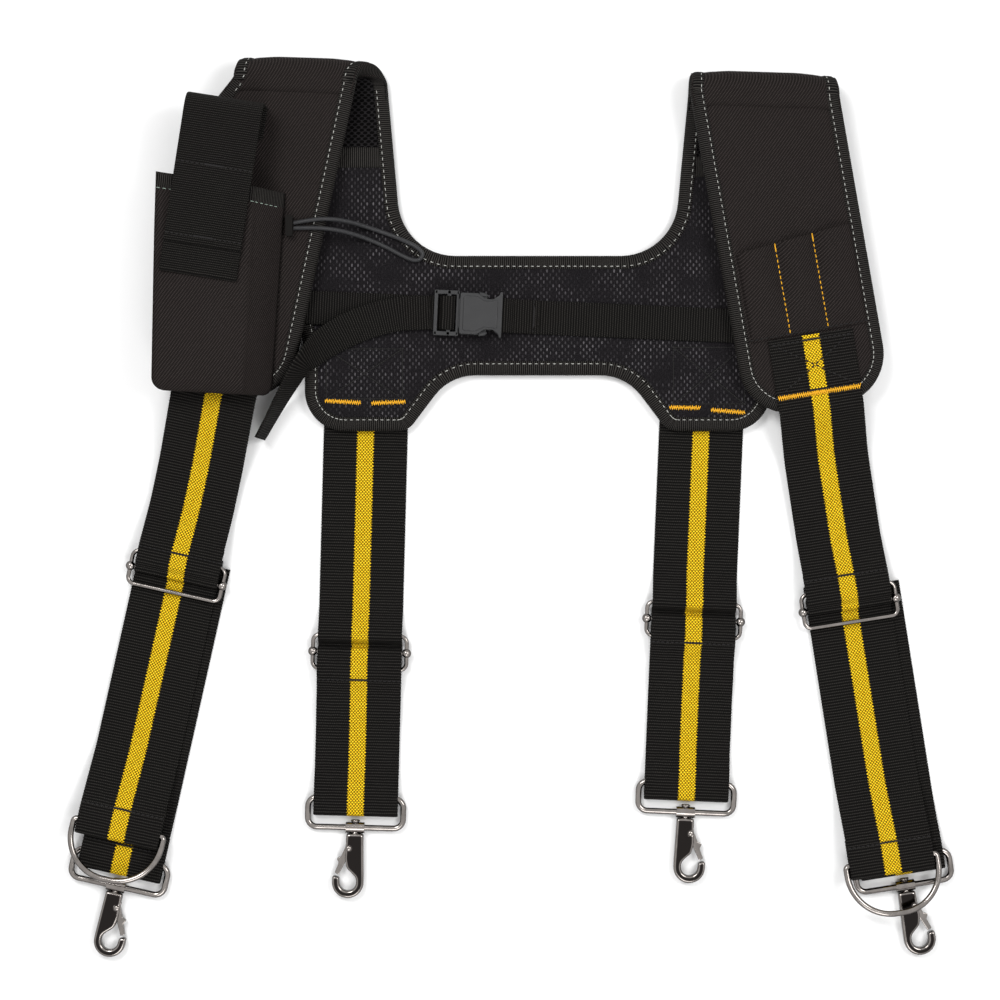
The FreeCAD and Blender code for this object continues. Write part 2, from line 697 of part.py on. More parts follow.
def pouch_corners(wall=0.0, mouth=0.0):
    """The pouch seen from above, its mouth upwards and its bottom corners rounded."""
    top, foot, end = dim.pouch_mouth_half, dim.pouch_foot_half, dim.pouch_length
    slant = dim.pouch_slant
    return [
        (-top + wall, slant + mouth, 0), (-foot + wall, 2 - end + wall, 6 - wall),
        (foot - wall, -end + wall, 8 - wall), (top - 1.5 - wall, -1.5 * slant + mouth, 0),
    ]


def build_pouch():
    """Box pouch with gussets, its flap and the patch that holds the flap."""
    place = on_pad("left", *POUCH_AT, pouch_lift, dim.pouch_turn)
    body = layer("pouch_body", pouch_corners(), place, sheet_of("pouch_depth"))
    inside = sketch_on(body, "XY_Plane", outline(pouch_corners(dim.pouch_wall, 12)), "inside",
                       Vector(0, 0, dim.pouch_wall))
    pocket(body, inside, "Sizes.pouch_depth - 2 * Sizes.pouch_wall", upwards=True)

    face = on_pad("left", *FLAP_AT, 0, dim.flap_turn)
    top = pouch_lift + dim.pouch_depth + dim.patch_thick + web / 2 + 2 * dim.web_play
    seat = web / 2 + dim.web_play
    band("flap_anchor", [(-dim.flap_seat, seat, 0), (dim.hinge_at + 0.6, seat, 0)], face,
         "flap_width")
    flap = [(dim.hinge_at, seat + dim.hinge_gap, 0), (dim.hinge_at, top, 6),
            (-dim.flap_length, top, 0)]
    band("pouch_flap", flap, face, "flap_width")
    half, low_end = dim.flap_width / 2 - 4, -dim.flap_length + 6
    patch = [(-half, low_end, 2), (half, low_end, 2), (half, low_end + dim.patch_length, 2),
             (-half, low_end + dim.patch_length, 2)]
    layer("closure_patch", patch, moved(face, 0, 0, pouch_lift + dim.pouch_depth + 0.1),
          sheet_of("patch_thick"))

    tab = on_pad("left", *CORD_TAB_AT, 0.1, 0)
    layer("cord_tab", [(-1.5, -6, 1), (2.6, -6, 1), (2.6, 6, 1), (-1.5, 6, 1)], tab,
          "2 * Sizes.cord_diameter")


def build_pencil_pocket():
    """Three pencil slots side by side, closed at the bottom."""
    place = pad_place("right").multiply(Placement(Vector(0, 0, panel + 0.1), Rotation()))
    wall, slot = dim.pocket_wall, dim.pencil_slot
    pitch = slot + wall
    left, top, depth = -dim.pocket_reach, -dim.pocket_start, dim.pocket_length
    right = left + 3 * pitch + wall
    corners = [(left, top, 0), (left, top - depth, 3), (right, top - depth, 3), (right, top, 0)]
    body = layer("pencil_pocket", corners, place, "Sizes.pencil_bore + 2 * Sizes.pocket_wall")
    for index in range(3):
        start = left + wall + index * pitch
        box = [(start, wall, 0), (start + slot, wall, 0),
               (start + slot, wall + dim.pencil_bore, 0), (start, wall + dim.pencil_bore, 0)]
        mouth = sketch_on(body, "XZ_Plane", outline(box), f"slot_{index}",
                          Vector(0, 0, -top))
        pocket(body, mouth, "Sizes.pocket_length - 4 * Sizes.pocket_wall", upwards=True)


# ---------------------------------------------------------------- chest strap


def chest_place():
    """Frame at the buckle: y runs along the strap to the right, z from the strap's middle."""
    return Placement(Vector(dim.buckle_at, 0, dim.chest_level),
                     Rotation(Vector(0, 0, 1), dim.chest_turn - 90))


def rectangle(x, low_y, high_y, bend=0.0):
    return [(-x, low_y, bend), (x, low_y, bend), (x, high_y, bend), (-x, high_y, bend)]


def build_chest_strap():
    place = chest_place()
    bar_top = web / 2 + 0.1 + dim.buckle_bar
    over = bar_top + 0.15 + web / 2
    right = [(dim.chest_right_end, 0, 0), (7.3, 0, 0.9), (7.3, over, 0.9), (14.5, over, 2),
             (19, lap, 2), (34, lap, 0)]
    band("chest_strap_right", right, place, "chest_width")
    ladder_low = 2 * lap - web / 2 + 0.15
    ladder_over = ladder_low + dim.ladder_thick + 0.1 + web / 2
    left = [(dim.chest_left_end, 0, 0), (-16.2, 0, 0.85), (-16.2, ladder_over, 0.85),
            (-22.9, ladder_over, 0.85), (-22.9, lap, 0.85), (-30, lap, 0)]
    band("chest_strap_left", left, place, "chest_width")

    base, half, length = -dim.buckle_base, dim.buckle_width / 2, dim.buckle_length / 2
    wall = dim.buckle_wall
    shell = layer("buckle_socket", rectangle(half, -length, length, 3), place,
                  sheet_of("buckle_thick"), base)
    cavity = outline([(-length - 1, base + wall, 0), (2.5, base + wall, 0),
                      (2.5, base + dim.buckle_thick - wall, 0),
                      (-length - 1, base + dim.buckle_thick - wall, 0)])
    pocket(shell, sketch_on(shell, "YZ_Plane", cavity, "cavity"),
           "Sizes.buckle_width - 2 * Sizes.buckle_wall", True)
    window = outline([(-3.6, base + 2.4, 1), (4, base + 2.4, 1),
                      (4, base + dim.buckle_thick - 2.4, 1),
                      (-3.6, base + dim.buckle_thick - 2.4, 1)])
    pocket(shell, sketch_on(shell, "YZ_Plane", window, "window"), "Sizes.buckle_width * 2", True)
    hollow = outline([
        (4.5, base - 1, 0), (length + 1, base - 1, 0), (length + 1, web / 2 + 0.1, 0),
        (8.5, web / 2 + 0.1, 0.5), (8.5, bar_top, 0.5), (length + 1, bar_top, 0),
        (length + 1, base + dim.buckle_thick + 1, 0), (4.5, base + dim.buckle_thick + 1, 0)])
    pocket(shell, sketch_on(shell, "YZ_Plane", hollow, "strap_opening"),
           "Sizes.chest_width + 6 * Sizes.web_play", True)

    ladder = layer("buckle_plug", rectangle(half, -27.8, -12.9, 2), place,
                   sheet_of("ladder_thick"), ladder_low)
    half_slot = dim.chest_width / 2 + 3 * dim.web_play
    for name, low_y, high_y in (("outer_slot", -25.3, -20.5), ("inner_slot", -17.6, -14.9)):
        cut = sketch_on(ladder, "XY_Plane", outline(rectangle(half_slot, low_y, high_y)), name)
        pocket(ladder, cut, "Sizes.buckle_thick", upwards=True)
    side = [(11.5, -12.9, 0), (11.5, -2.6, 1), (13.2, -2.2, 0.6), (12.2, 1.2, 1.5),
            (9.4, 1.9, 0.8), (8.4, 0, 1), (8.4, -10.6, 1), (2.2, -10.6, 1), (2.2, 0.5, 1)]
    arms = side + [(-x, y, r) for x, y, r in side[::-1]]
    layer("buckle_arms", arms, place, sheet_of("arm_thick"), base + 2.4)


TAIL_SPOTS = [
    (-63.6, 1.3, 11.65, 0, 177.5), (-84.0, 0.0, 11.75, 0, 185), (-112.0, -9.0, 12.6, 14, 203),
    (-128.5, -19.5, 16.0, 38, 217), (-137.0, -28.5, 20.5, 60, 230),
    (-147.0, -43.5, 16.5, 71, 236), (-156.5, -59.5, 11.4, 77, 240), (-164.0, -73.0, 10.8, 80, 242),
]


def build_tail():
    """Loose end of the chest strap, which turns on edge as it hangs off the yoke."""
    sections = []
    half, thin = dim.chest_width / 2, web / 2
    drawn_end = 122.0
    scale = -dim.chest_left_end / drawn_end
    for index, (x, y, z, roll, heading) in enumerate(TAIL_SPOTS):
        section = doc.addObject("Sketcher::SketchObject", f"tail_section_{index}")
        corners = [(-half, -thin, 0), (half, -thin, 0), (half, thin, 0), (-half, thin, 0)]
        for curve in outline(corners):
            section.addGeometry(curve, False)
        upright = Rotation(Vector(0, 0, 1), heading + 90).multiply(
            Rotation(Vector(0, 1, 0), roll)).multiply(Rotation(Vector(1, 0, 0), 90))
        section.Placement = Placement(Vector(x, y, z) * scale, upright)
        sections.append(section)
    tail = doc.addObject("Part::Loft", "chest_strap_tail")
    tail.Label = "chest_strap_tail"
    tail.Sections = sections
    tail.Solid = True
    tail.Ruled = True
    return tail


# ---------------------------------------------------------------- elastic cord

CORD_ROUTE = [
    (-143.0, 52.6, 23.9), (-133.5, 54.4, 24.1), (-122.5, 55.2, 24.0), (-111.5, 54.2, 19.0),
    (-100.5, 51.5, 12.2), (-88.5, 47.6, 10.5), (-78.0, 43.4, 10.4), (-70.2, 39.2, 10.4),
    (-67.3, 34.8, 10.4), (-71.5, 31.4, 10.4), (-79.0, 34.2, 10.4), (-89.0, 39.8, 10.4),
    (-99.8, 44.4, 12.0), (-111.0, 47.6, 18.6), (-122.5, 49.4, 23.8), (-133.0, 49.9, 24.1),
    (-143.0, 49.6, 23.9),
]


def cord_path(route):
    """Straight runs joined by arcs, each as large as its two runs allow."""
    spots = [Vector(*spot) for spot in route]
    edges = []
    here = spots[0]
    for before, at, after in zip(spots, spots[1:], spots[2:]):
        run = min(at.distanceToPoint(before), at.distanceToPoint(after))
        half_turn = (at - before).getAngle(after - at) / 2
        radius = 0.45 * run / math.tan(half_turn)
        start, middle, end = corner(before, at, after, radius)
        print("cord radius", round(radius, 1))
        edges.append(Part.LineSegment(here, start).toShape())
        edges.append(Part.Arc(start, middle, end).toShape())
        here = end
    edges.append(Part.LineSegment(here, spots[-1]).toShape())
    return Part.Wire(edges)


def build_cord():
    """Elastic loop beside the pouch, both its ends sewn into the tab."""
    path = cord_path(CORD_ROUTE)
    first = path.Edges[0]
    way = first.tangentAt(first.FirstParameter)
    ring = Part.Circle(Vector(*CORD_ROUTE[0]), way, dim.cord_diameter / 2).toShape()
    cord = doc.addObject("Part::Feature", "elastic_cord")
    cord.Label = "elastic_cord"
    cord.Shape = path.makePipeShell([Part.Wire(ring)], True, True)
    section = math.pi * dim.cord_diameter ** 2 / 4
    print("cord length", round(path.Length, 1),
          "volume share", round(cord.Shape.Volume / (section * path.Length), 4))
    return cord


# ---------------------------------------------------------------- the whole harness

build_yoke()
build_bends()
build_pads()
build_straps()
build_pouch()
build_pencil_pocket()
build_chest_strap()
loose = [build_tail(), build_cord()]
doc.recompute()

failed = [item.Name for item in doc.Objects
          if "Invalid" in item.State or "Error" in item.State]
if failed:
    raise RuntimeError("features failed: " + ", ".join(failed))
pieces = [item for item in doc.Objects if item.isDerivedFrom("PartDesign::Body")] + loose
broken = [item.Label for item in pieces if item.Shape.isNull() or not item.Shape.isValid()]
if broken:
    raise RuntimeError("pieces without a valid shape: " + ", ".join(broken))
os.makedirs("parts", exist_ok=True)
for item in pieces:
    item.Shape.exportStep(f"parts/{item.Label}.step")
print(len(pieces), "pieces written")
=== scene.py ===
"""Padded harness for a tool belt: its cloth, webbing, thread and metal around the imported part."""

import math

import bmesh
import bpy
import numpy as np
from mathutils import Matrix, Vector
from mathutils.bvhtree import BVHTree


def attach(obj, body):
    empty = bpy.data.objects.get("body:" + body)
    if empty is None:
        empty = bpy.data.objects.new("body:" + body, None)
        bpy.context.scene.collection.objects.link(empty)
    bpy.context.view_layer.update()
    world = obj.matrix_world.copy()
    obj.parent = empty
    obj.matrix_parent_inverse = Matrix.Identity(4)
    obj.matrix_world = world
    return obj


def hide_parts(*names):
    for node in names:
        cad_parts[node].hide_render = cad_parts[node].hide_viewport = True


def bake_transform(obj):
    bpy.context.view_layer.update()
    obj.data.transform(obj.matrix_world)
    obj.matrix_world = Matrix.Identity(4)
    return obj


MM = 0.001
PANEL = 8.8                    # thickness of the padded panels
FOLD_GAP = 3.6
FOLD_LEVEL = 133.0
FOLD_SLANT = 1.8
FOLD_HEIGHT = PANEL + FOLD_GAP
TAPE_WIDTH = 8.0
STITCH_IN = 6.6                # from the edge to the binding's stitches
WEB = 1.5                      # thickness of the webbing
WEB_PLAY = 0.2
LAP = WEB + WEB_PLAY / 2
LOW = WEB / 2
HUG = 1.25 + 0.05 + LOW
RING_HUG = 1.75 + 0.1 + LOW
RING_LEVEL = LOW + RING_HUG
BAR_GAP = 10.0
BACK_LEVEL = LOW + LAP + 0.05 + HUG
FRONT_LEVEL = BACK_LEVEL + LAP
HOOK_END = 7.5 + RING_HUG
ANCHOR = 34.0
RIB = 1.7                      # pitch of the ribs of the wide webbing

# ---------------------------------------------------------------- camera and frame


def set_camera():
    data = bpy.data.cameras.new("camera")
    data.lens = 85
    data.sensor_width = 36
    camera = bpy.data.objects.new("camera", data)
    camera.location = (-0.0224, -0.1092, 1.403)
    bpy.context.scene.collection.objects.link(camera)
    bpy.context.scene.camera = camera


set_camera()
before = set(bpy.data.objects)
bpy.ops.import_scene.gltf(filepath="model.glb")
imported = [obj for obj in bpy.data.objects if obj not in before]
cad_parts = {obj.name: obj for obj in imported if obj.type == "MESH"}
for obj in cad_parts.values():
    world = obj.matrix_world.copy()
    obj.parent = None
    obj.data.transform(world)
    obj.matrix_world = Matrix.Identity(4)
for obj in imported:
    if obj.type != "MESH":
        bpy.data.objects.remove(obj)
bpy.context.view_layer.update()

# ---------------------------------------------------------------- small helpers


def frame_at(x, y, z=0.0, turn=0.0, tilt=0.0):
    """Frame in millimetres: moved, tilted about X, then turned about Z."""
    return (Matrix.Translation((x, y, z)) @ Matrix.Rotation(math.radians(tilt), 4, "X")
            @ Matrix.Rotation(math.radians(turn), 4, "Z"))


def put(place, points):
    points = np.asarray(points, float)
    matrix = np.array(place)
    return points @ matrix[:3, :3].T + matrix[:3, 3]


def turned(place, way):
    return (place.to_3x3() @ Vector(way)).normalized()


def rounded(points, closed=False):
    """Points of a line through (x, y, z, radius) corners, with its arcs."""
    spots = [Vector(p[:3]) for p in points]
    count = len(spots)
    result = []
    for index, spot in enumerate(spots):
        radius = points[index][3]
        inside = closed or 0 < index < count - 1
        if radius <= 0 or not inside:
            result.append(spot)
            continue
        before = (spots[index - 1] - spot).normalized()
        after = (spots[(index + 1) % count] - spot).normalized()
        half = before.angle(after) / 2
        centre = spot + (before + after).normalized() * (radius / math.sin(half))
        reach = radius / math.tan(half)
        start = spot + before * reach - centre
        end = spot + after * reach - centre
        sweep = math.pi - 2 * half
        steps = max(2, int(sweep / 0.12))
        for step in range(steps + 1):
            share = step / steps
            a = math.sin((1 - share) * sweep) / math.sin(sweep)
            b = math.sin(share * sweep) / math.sin(sweep)
            result.append(centre + start * a + end * b)
    if closed:
        result.append(result[0])
    return np.array([list(p) for p in result])


def evenly(line, step):
    """The same line at even steps, with its direction at each point."""
    gaps = np.linalg.norm(np.diff(line, axis=0), axis=1)
    keep = np.concatenate([[True], gaps > 1e-7])
    line = line[keep]
    along = np.concatenate([[0], np.cumsum(np.linalg.norm(np.diff(line, axis=0), axis=1))])
    count = max(3, int(round(along[-1] / step)) + 1)
    spots = np.linspace(0, along[-1], count)
    points = np.stack([np.interp(spots, along, line[:, k]) for k in range(3)], axis=1)
    ways = np.gradient(points, axis=0)
    ways /= np.linalg.norm(ways, axis=1)[:, None]
    return points, ways, spots


def placed(name, data):
    """A new object in the scene, at the origin."""
    piece = bpy.data.objects.new(name, data)
    bpy.context.scene.collection.objects.link(piece)
    return piece


def mesh_of(name, work):
    """The bmesh as a mesh of its own."""
    mesh = bpy.data.meshes.new(name)
    work.to_mesh(mesh)
    work.free()
    return mesh


def all_smooth(mesh):
    mesh.polygons.foreach_set("use_smooth", [True] * len(mesh.polygons))


def relaxed(mesh, passes):
    """Smooths a mesh's vertices that many times."""
    work = bmesh.new()
    work.from_mesh(mesh)
    for _ in range(passes):
        bmesh.ops.smooth_vert(work, verts=work.verts, factor=0.5, use_axis_x=True,
                              use_axis_y=True, use_axis_z=True)
    work.to_mesh(mesh)
    work.free()


def remeshed(piece, voxel):
    remesh = piece.modifiers.new("even", "REMESH")
    remesh.mode = "VOXEL"
    remesh.voxel_size = voxel * MM
    settled(piece)


def build(name, points, faces, material, uv=None):
    """A mesh from points in millimetres. uv has one pair for each point, in centimetres."""
    mesh = bpy.data.meshes.new(name)
    mesh.from_pydata((np.asarray(points) * MM).tolist(), [], [list(f) for f in faces])
    if uv is not None:
        layer = mesh.uv_layers.new(name="UVMap")
        loops = np.zeros(len(mesh.loops), int)
        mesh.loops.foreach_get("vertex_index", loops)
        layer.data.foreach_set("uv", np.asarray(uv, float)[loops].ravel())
    work = bmesh.new()
    work.from_mesh(mesh)
    bmesh.ops.recalc_face_normals(work, faces=work.faces)
    work.to_mesh(mesh)
    work.free()
    all_smooth(mesh)
    for one in material if isinstance(material, list) else [material]:
        mesh.materials.append(one)
    return placed(name, mesh)


def loft(name, rows, material, uv=None, place=None):
    """Closed sections joined one after another, with caps at both ends."""
    rows = np.asarray(rows, float)
    count, around = rows.shape[:2]
    faces = []
    for row in range(count - 1):
        low, high = row * around, (row + 1) * around
        for k in range(around):
            n = (k + 1) % around
            faces.append((low + k, low + n, high + n, high + k))
    faces.append(tuple(range(around))[::-1])
    faces.append(tuple(range((count - 1) * around, count * around)))
    flat = None if uv is None else np.asarray(uv, float).reshape(-1, 2)
    points = rows.reshape(-1, 3)
    return build(name, points if place is None else put(place, points), faces, material, flat)


def stands_for(piece, body, slot, *nodes, pair=None):
    """The piece rides on its body, or with a pair keeps its place with its transform baked in; either
    way it replaces its CAD nodes.
    """
    if pair:
        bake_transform(piece)
    else:
        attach(piece, body)
    if nodes:
        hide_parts(*nodes)
    return piece


# ---------------------------------------------------------------- shader helper


class Nodes:
    """Fills a node tree."""

    def __init__(self, tree):
        self.nodes = tree.nodes
        self.links = tree.links

    def put(self, node, key, value):
        """Gives an input a value, or links it where the value is an output."""
        if isinstance(value, bpy.types.NodeSocket):
            self.links.new(value, node.inputs[key])
        elif value is not None:
            node.inputs[key].default_value = value

    def node(self, kind, inputs=(), output=0, **settings):
        """Adds a node with its inputs as (input, value), and returns one of its outputs."""
        made = self.nodes.new(kind)
        for name, value in settings.items():
            setattr(made, name, value)
        for key, value in inputs:
            self.put(made, key, value)
        return made.outputs[output]

    def math(self, operation, first, second=None):
        return self.node("ShaderNodeMath", [(0, first), (1, second)], operation=operation)

    def step(self, value, low, high):
        """From 0 at low to 1 at high."""
        return self.node("ShaderNodeMapRange", [(0, value), (1, low), (2, high)],
                         interpolation_type="SMOOTHSTEP")

    def shown_white(self):
        """One where the camera, a mirror or clear stuff looks straight at the background."""
        path = self.nodes.new("ShaderNodeLightPath").outputs
        either = self.math("MAXIMUM", path["Is Camera Ray"], path["Is Transmission Ray"])
        return self.math("MAXIMUM", either, path["Is Glossy Ray"])


class Finish(Nodes):
    """Builds one material. Every method returns an output socket."""

    def __init__(self, name):
        self.material = bpy.data.materials.new(name)
        self.material.use_nodes = True
        super().__init__(self.material.node_tree)
        self.shader = self.nodes["Principled BSDF"]

    def add(self, a, b):
        return self.math("ADD", a, b)

    def sub(self, a, b):
        return self.math("SUBTRACT", a, b)

    def times(self, a, b):
        return self.math("MULTIPLY", a, b)

    def wave(self, value, pitch):
        """A sine from 0 to 1 with that pitch."""
        sine = self.math("SINE", self.times(value, 2 * math.pi / pitch))
        return self.add(self.times(sine, 0.5), 0.5)

    def split(self, vector):
        node = self.nodes.new("ShaderNodeSeparateXYZ")
        self.put(node, 0, vector)
        return node.outputs[0], node.outputs[1], node.outputs[2]

    def join(self, x, y, z=0.0):
        return self.node("ShaderNodeCombineXYZ", enumerate((x, y, z)))

    def place(self, kind="Object"):
        return self.nodes.new("ShaderNodeTexCoord").outputs[kind]

    def square(self, value, scale):
        return self.math("POWER", self.times(value, scale), 2.0)

    def odd(self, row):
        """One on every second row."""
        return self.math("MODULO", self.math("ABSOLUTE", row), 2.0)

    def within(self, value, cells=0.0):
        """Where a value lies between two whole numbers, from -0.5 to 0.5."""
        return self.sub(self.math("FRACT", self.add(value, cells) if cells else value), 0.5)

    def strap_map(self):
        """Millimetres across and along a strap."""
        across, along, _ = self.split(self.place("UV"))
        return self.times(across, 10.0), self.times(along, 10.0)

    def stretched(self, across, along, one, two):
        """A place on the strap, with a scale of its own each way."""
        return self.join(self.times(across, one), self.times(along, two))

    def noise(self, vector, scale, detail=3.0, rough=0.5):
        return self.node("ShaderNodeTexNoise", [("Vector", vector), ("Scale", scale),
                                                ("Detail", detail), ("Roughness", rough)])

    def mix(self, factor, first, second):
        first, second = ((*one, 1.0) if isinstance(one, tuple) else one
                         for one in (first, second))
        return self.node("ShaderNodeMix", [("Factor", factor), (6, first), (7, second)], 2,
                         data_type="RGBA")

    def bump(self, height, distance, strength=1.0, below=None):
        return self.node("ShaderNodeBump", [("Height", height), ("Distance", distance),
                                            ("Strength", strength), ("Normal", below)])

    def finish(self, color, roughness, normal=None, **sockets):
        if isinstance(color, tuple):
            color = (*color, 1.0)
        self.put(self.shader, "Base Color", color)
        self.put(self.shader, "Roughness", roughness)
        if normal is not None:
            self.put(self.shader, "Normal", normal)
        for name, value in sockets.items():
            self.put(self.shader, name.replace("_", " "), value)
        return self.material


# ---------------------------------------------------------------- finishes

CLOTH_SHINE = 0.03             # specular level of every black cloth


def webbing_finish(name, stripe, rib):
    """Ribbed webbing, its rib crests painted lighter as a painted highlight and its grooves darker as
    painted shade. The map runs across and along the strap, in centimetres.
    """
    f = Finish(name)
    # dark is the painted shade in the grooves between ribs, light the painted highlight on their
    # crests
    dark, light = (0.0032, 0.0030, 0.0029), (0.058, 0.054, 0.049)
    across, along = f.strap_map()
    drift = f.noise(f.stretched(across, along, 0.15, 0.15), 1.0, 2.0)
    along = f.add(along, f.times(drift, 0.5))
    ribs = f.wave(along, rib)
    row = f.math("ROUND", f.times(along, 1 / rib))
    yarn = f.wave(f.add(across, f.times(row, 0.55)), 1.1)
    speck = f.noise(f.stretched(across, along, 0.9, 1.6), 2.2, 4.0, 0.7)
    worn = f.noise(f.stretched(across, along, 0.05, 0.04), 1.0, 3.0)
    # painted highlight on the rib crests; the grooves keep the painted shade
    crest = f.math("POWER", ribs, 1.6)
    painted_crest_light = f.times(f.times(crest, f.add(f.times(yarn, 0.55), 0.35)), f.add(speck, 0.1))
    cloth = f.mix(f.step(painted_crest_light, 0.02, 0.85), dark, light)
    cloth = f.mix(f.times(worn, 0.10), cloth, tuple(c * 0.55 for c in light))
    height = f.add(ribs, f.times(f.times(yarn, ribs), 0.55))
    if stripe:
        edge = f.add(4.9, f.times(f.sub(f.wave(along, rib), 0.5), 0.7))
        inside = f.math("LESS_THAN", f.math("ABSOLUTE", across), edge)
        lines = f.times(along, 1.65 / rib)
        odd = f.odd(f.math("FLOOR", lines))
        cell = 1.85
        dot_x = f.within(f.add(f.times(across, 1 / cell), f.times(odd, 0.5)), 20.0)
        dot_y = f.within(lines)
        far = f.add(f.square(dot_x, 1.75), f.square(dot_y, 1.25))
        dot = f.sub(1.0, f.step(far, 0.22, 0.62))
        tone = f.noise(f.stretched(across, along, 0.8, 0.5), 1.3, 2.0)
        thread = f.mix(f.step(tone, 0.35, 0.65), (0.86, 0.53, 0.012), (0.96, 0.68, 0.026))
        yellow = f.mix(dot, (0.115, 0.052, 0.002), thread)
        cloth = f.mix(inside, cloth, yellow)
        height = f.add(f.times(height, f.sub(1.0, inside)),
                       f.times(f.times(dot, inside), 1.3))
    normal = f.bump(height, 0.00030, 1.0)
    fuzz = f.bump(speck, 0.0001, 0.5, normal)
    return f.finish(cloth, 0.7, fuzz, Specular_IOR_Level=CLOTH_SHINE)


def tape_finish():
    """Black binding tape, ribbed across its width, its rib crests painted lighter as a painted
    highlight and its grooves darker as painted shade.
    """
    f = Finish("binding tape")
    across, along = f.strap_map()
    ribs = f.wave(along, 1.2)
    speck = f.noise(f.stretched(across, along, 0.7, 2.0), 2.4, 4.0, 0.7)
    # painted highlight on the rib crests, painted shade in the grooves
    painted_crest_light = f.times(f.math("POWER", ribs, 1.4), f.add(speck, 0.05))
    color = f.mix(f.step(painted_crest_light, 0.05, 0.75), (0.0038, 0.0035, 0.0034), (0.056, 0.052, 0.048))
    normal = f.bump(f.add(ribs, f.times(speck, 0.5)), 0.0002, 1.0)
    return f.finish(color, 0.7, normal, Specular_IOR_Level=CLOTH_SHINE)


def twill_finish():
    """Warm black twill with raised diagonal lines, painted lighter on their crests as a painted
    highlight and darker between them as painted shade.
    """
    f = Finish("pad twill")
    x, y, z = (f.times(one, 1000.0) for one in f.split(f.place()))
    slope = f.sub(f.times(f.add(y, z), 0.57), f.times(x, 0.82))
    broken = f.noise(f.join(x, y, z), 0.9, 2.0)
    lines = f.wave(f.add(slope, f.times(broken, 0.45)), 1.5)
    yarn = f.wave(f.add(f.times(x, 0.57), f.times(y, 0.82)), 0.95)
    speck = f.noise(f.join(x, y, z), 2.0, 3.0, 0.7)
    cloudy = f.noise(f.join(x, y, z), 0.03, 3.0)
    # painted highlight along the raised twill lines, painted shade between them
    painted_crest_light = f.times(f.times(lines, f.add(f.times(yarn, 0.5), 0.4)), f.add(speck, 0.2))
    color = f.mix(f.step(painted_crest_light, 0.05, 0.75), (0.0085, 0.0070, 0.0066), (0.046, 0.038, 0.036))
    color = f.mix(f.times(cloudy, 0.18), color, (0.028, 0.023, 0.022))
    normal = f.bump(f.add(f.times(lines, f.add(yarn, 0.6)), f.times(speck, 0.4)), 0.0002, 0.8)
    return f.finish(color, 0.75, normal, Specular_IOR_Level=CLOTH_SHINE)


def mesh_finish(name, spacer):
    """Air mesh: small slanted drops painted bright as painted highlights, and round cells on the
    spacer mesh of the shoulders with holes painted near black as painted shade.
    """
    f = Finish(name)
    x, y, z = f.split(f.place())
    x = f.times(x, 1000.0)
    y = f.add(f.times(y, 1000.0), f.times(z, 1000.0))
    wide, tall = (4.0, 3.4) if spacer else (3.6, 4.2)
    row = f.math("FLOOR", f.times(y, 2 / tall))
    cell_x = f.within(f.add(f.times(x, 1 / wide), f.times(f.odd(row), 0.5)), 90.0)
    cell_y = f.within(f.times(y, 2 / tall), 90.0)
    grain = f.noise(f.join(x, y, z), 1.6, 4.0, 0.7)
    cloudy = f.noise(f.join(x, y, z), 0.045, 3.0)
    if spacer:
        far = f.add(f.square(cell_x, 1.5), f.square(cell_y, 0.95))
        hole = f.sub(1.0, f.step(far, 0.16, 0.30))
        # holes painted near black: painted shade inside the cells
        color = f.mix(hole, (0.013, 0.012, 0.0125), (0.0010, 0.0009, 0.0009))
        height = f.add(f.sub(1.0, hole), f.times(grain, 0.3))
        depth = 0.0008
    else:
        far = f.add(f.square(cell_x, 4.6), f.square(cell_y, 1.30))
        drop = f.sub(1.0, f.step(far, 0.10, 0.60))
        each = f.noise(f.join(f.math("FLOOR", f.times(x, 1 / wide)), row), 0.73, 1.0)
        drop = f.times(drop, f.step(each, 0.30, 0.70))
        color = f.mix(f.step(grain, 0.35, 0.75), (0.0040, 0.0036, 0.0042),
                      (0.020, 0.018, 0.020))
        # bright drops where the cloudy mask allows: painted highlights on the mesh's raised knots
        color = f.mix(f.times(drop, f.step(cloudy, 0.32, 0.72)), color,
                      (0.130, 0.122, 0.130))
        height = f.add(drop, f.times(grain, 0.35))
        depth = 0.0003
    normal = f.bump(height, depth, 0.9)
    return f.finish(color, 0.72, normal, Specular_IOR_Level=CLOTH_SHINE)


def metal_finish(name, painted_dark_flats):
    """Polished nickel, blotched between two greys and darkened toward its outlines as painted
    reflections. On a casting the faces that look up are painted nearly black, a painted dark
    reflection.
    """
    f = Finish(name)
    spot = f.place()
    cloudy = f.noise(spot, 160.0, 4.0)
    fine = f.noise(spot, 1400.0, 3.0, 0.6)
    # rim: painted dark reflection that darkens the colour toward the outlines
    rim = f.step(f.node("ShaderNodeLayerWeight", [("Blend", 0.5)], "Facing"), 0.14, 0.50)
    # blotchy mix of two greys: painted reflections
    color = f.mix(cloudy, (0.135, 0.123, 0.115), (0.36, 0.33, 0.31))
    if painted_dark_flats:
        # faces that look up are painted nearly black: a painted dark reflection
        inside = f.node("ShaderNodeVectorTransform",
                        [(0, f.node("ShaderNodeNewGeometry", output="Normal"))],
                        vector_type="NORMAL", convert_from="WORLD", convert_to="OBJECT")
        level = f.split(inside)[2]
        flat = f.step(f.times(level, level), 0.93, 0.995)
        color = f.mix(flat, color, (0.022, 0.019, 0.018))
    color = f.mix(rim, color, (0.050, 0.044, 0.040))
    roughness = f.add(f.times(f.noise(spot, 420.0, 4.0, 0.65), 0.10), 0.07)
    normal = f.bump(fine, 0.00004, 0.35)
    return f.finish(color, roughness, normal, Metallic=1.0)


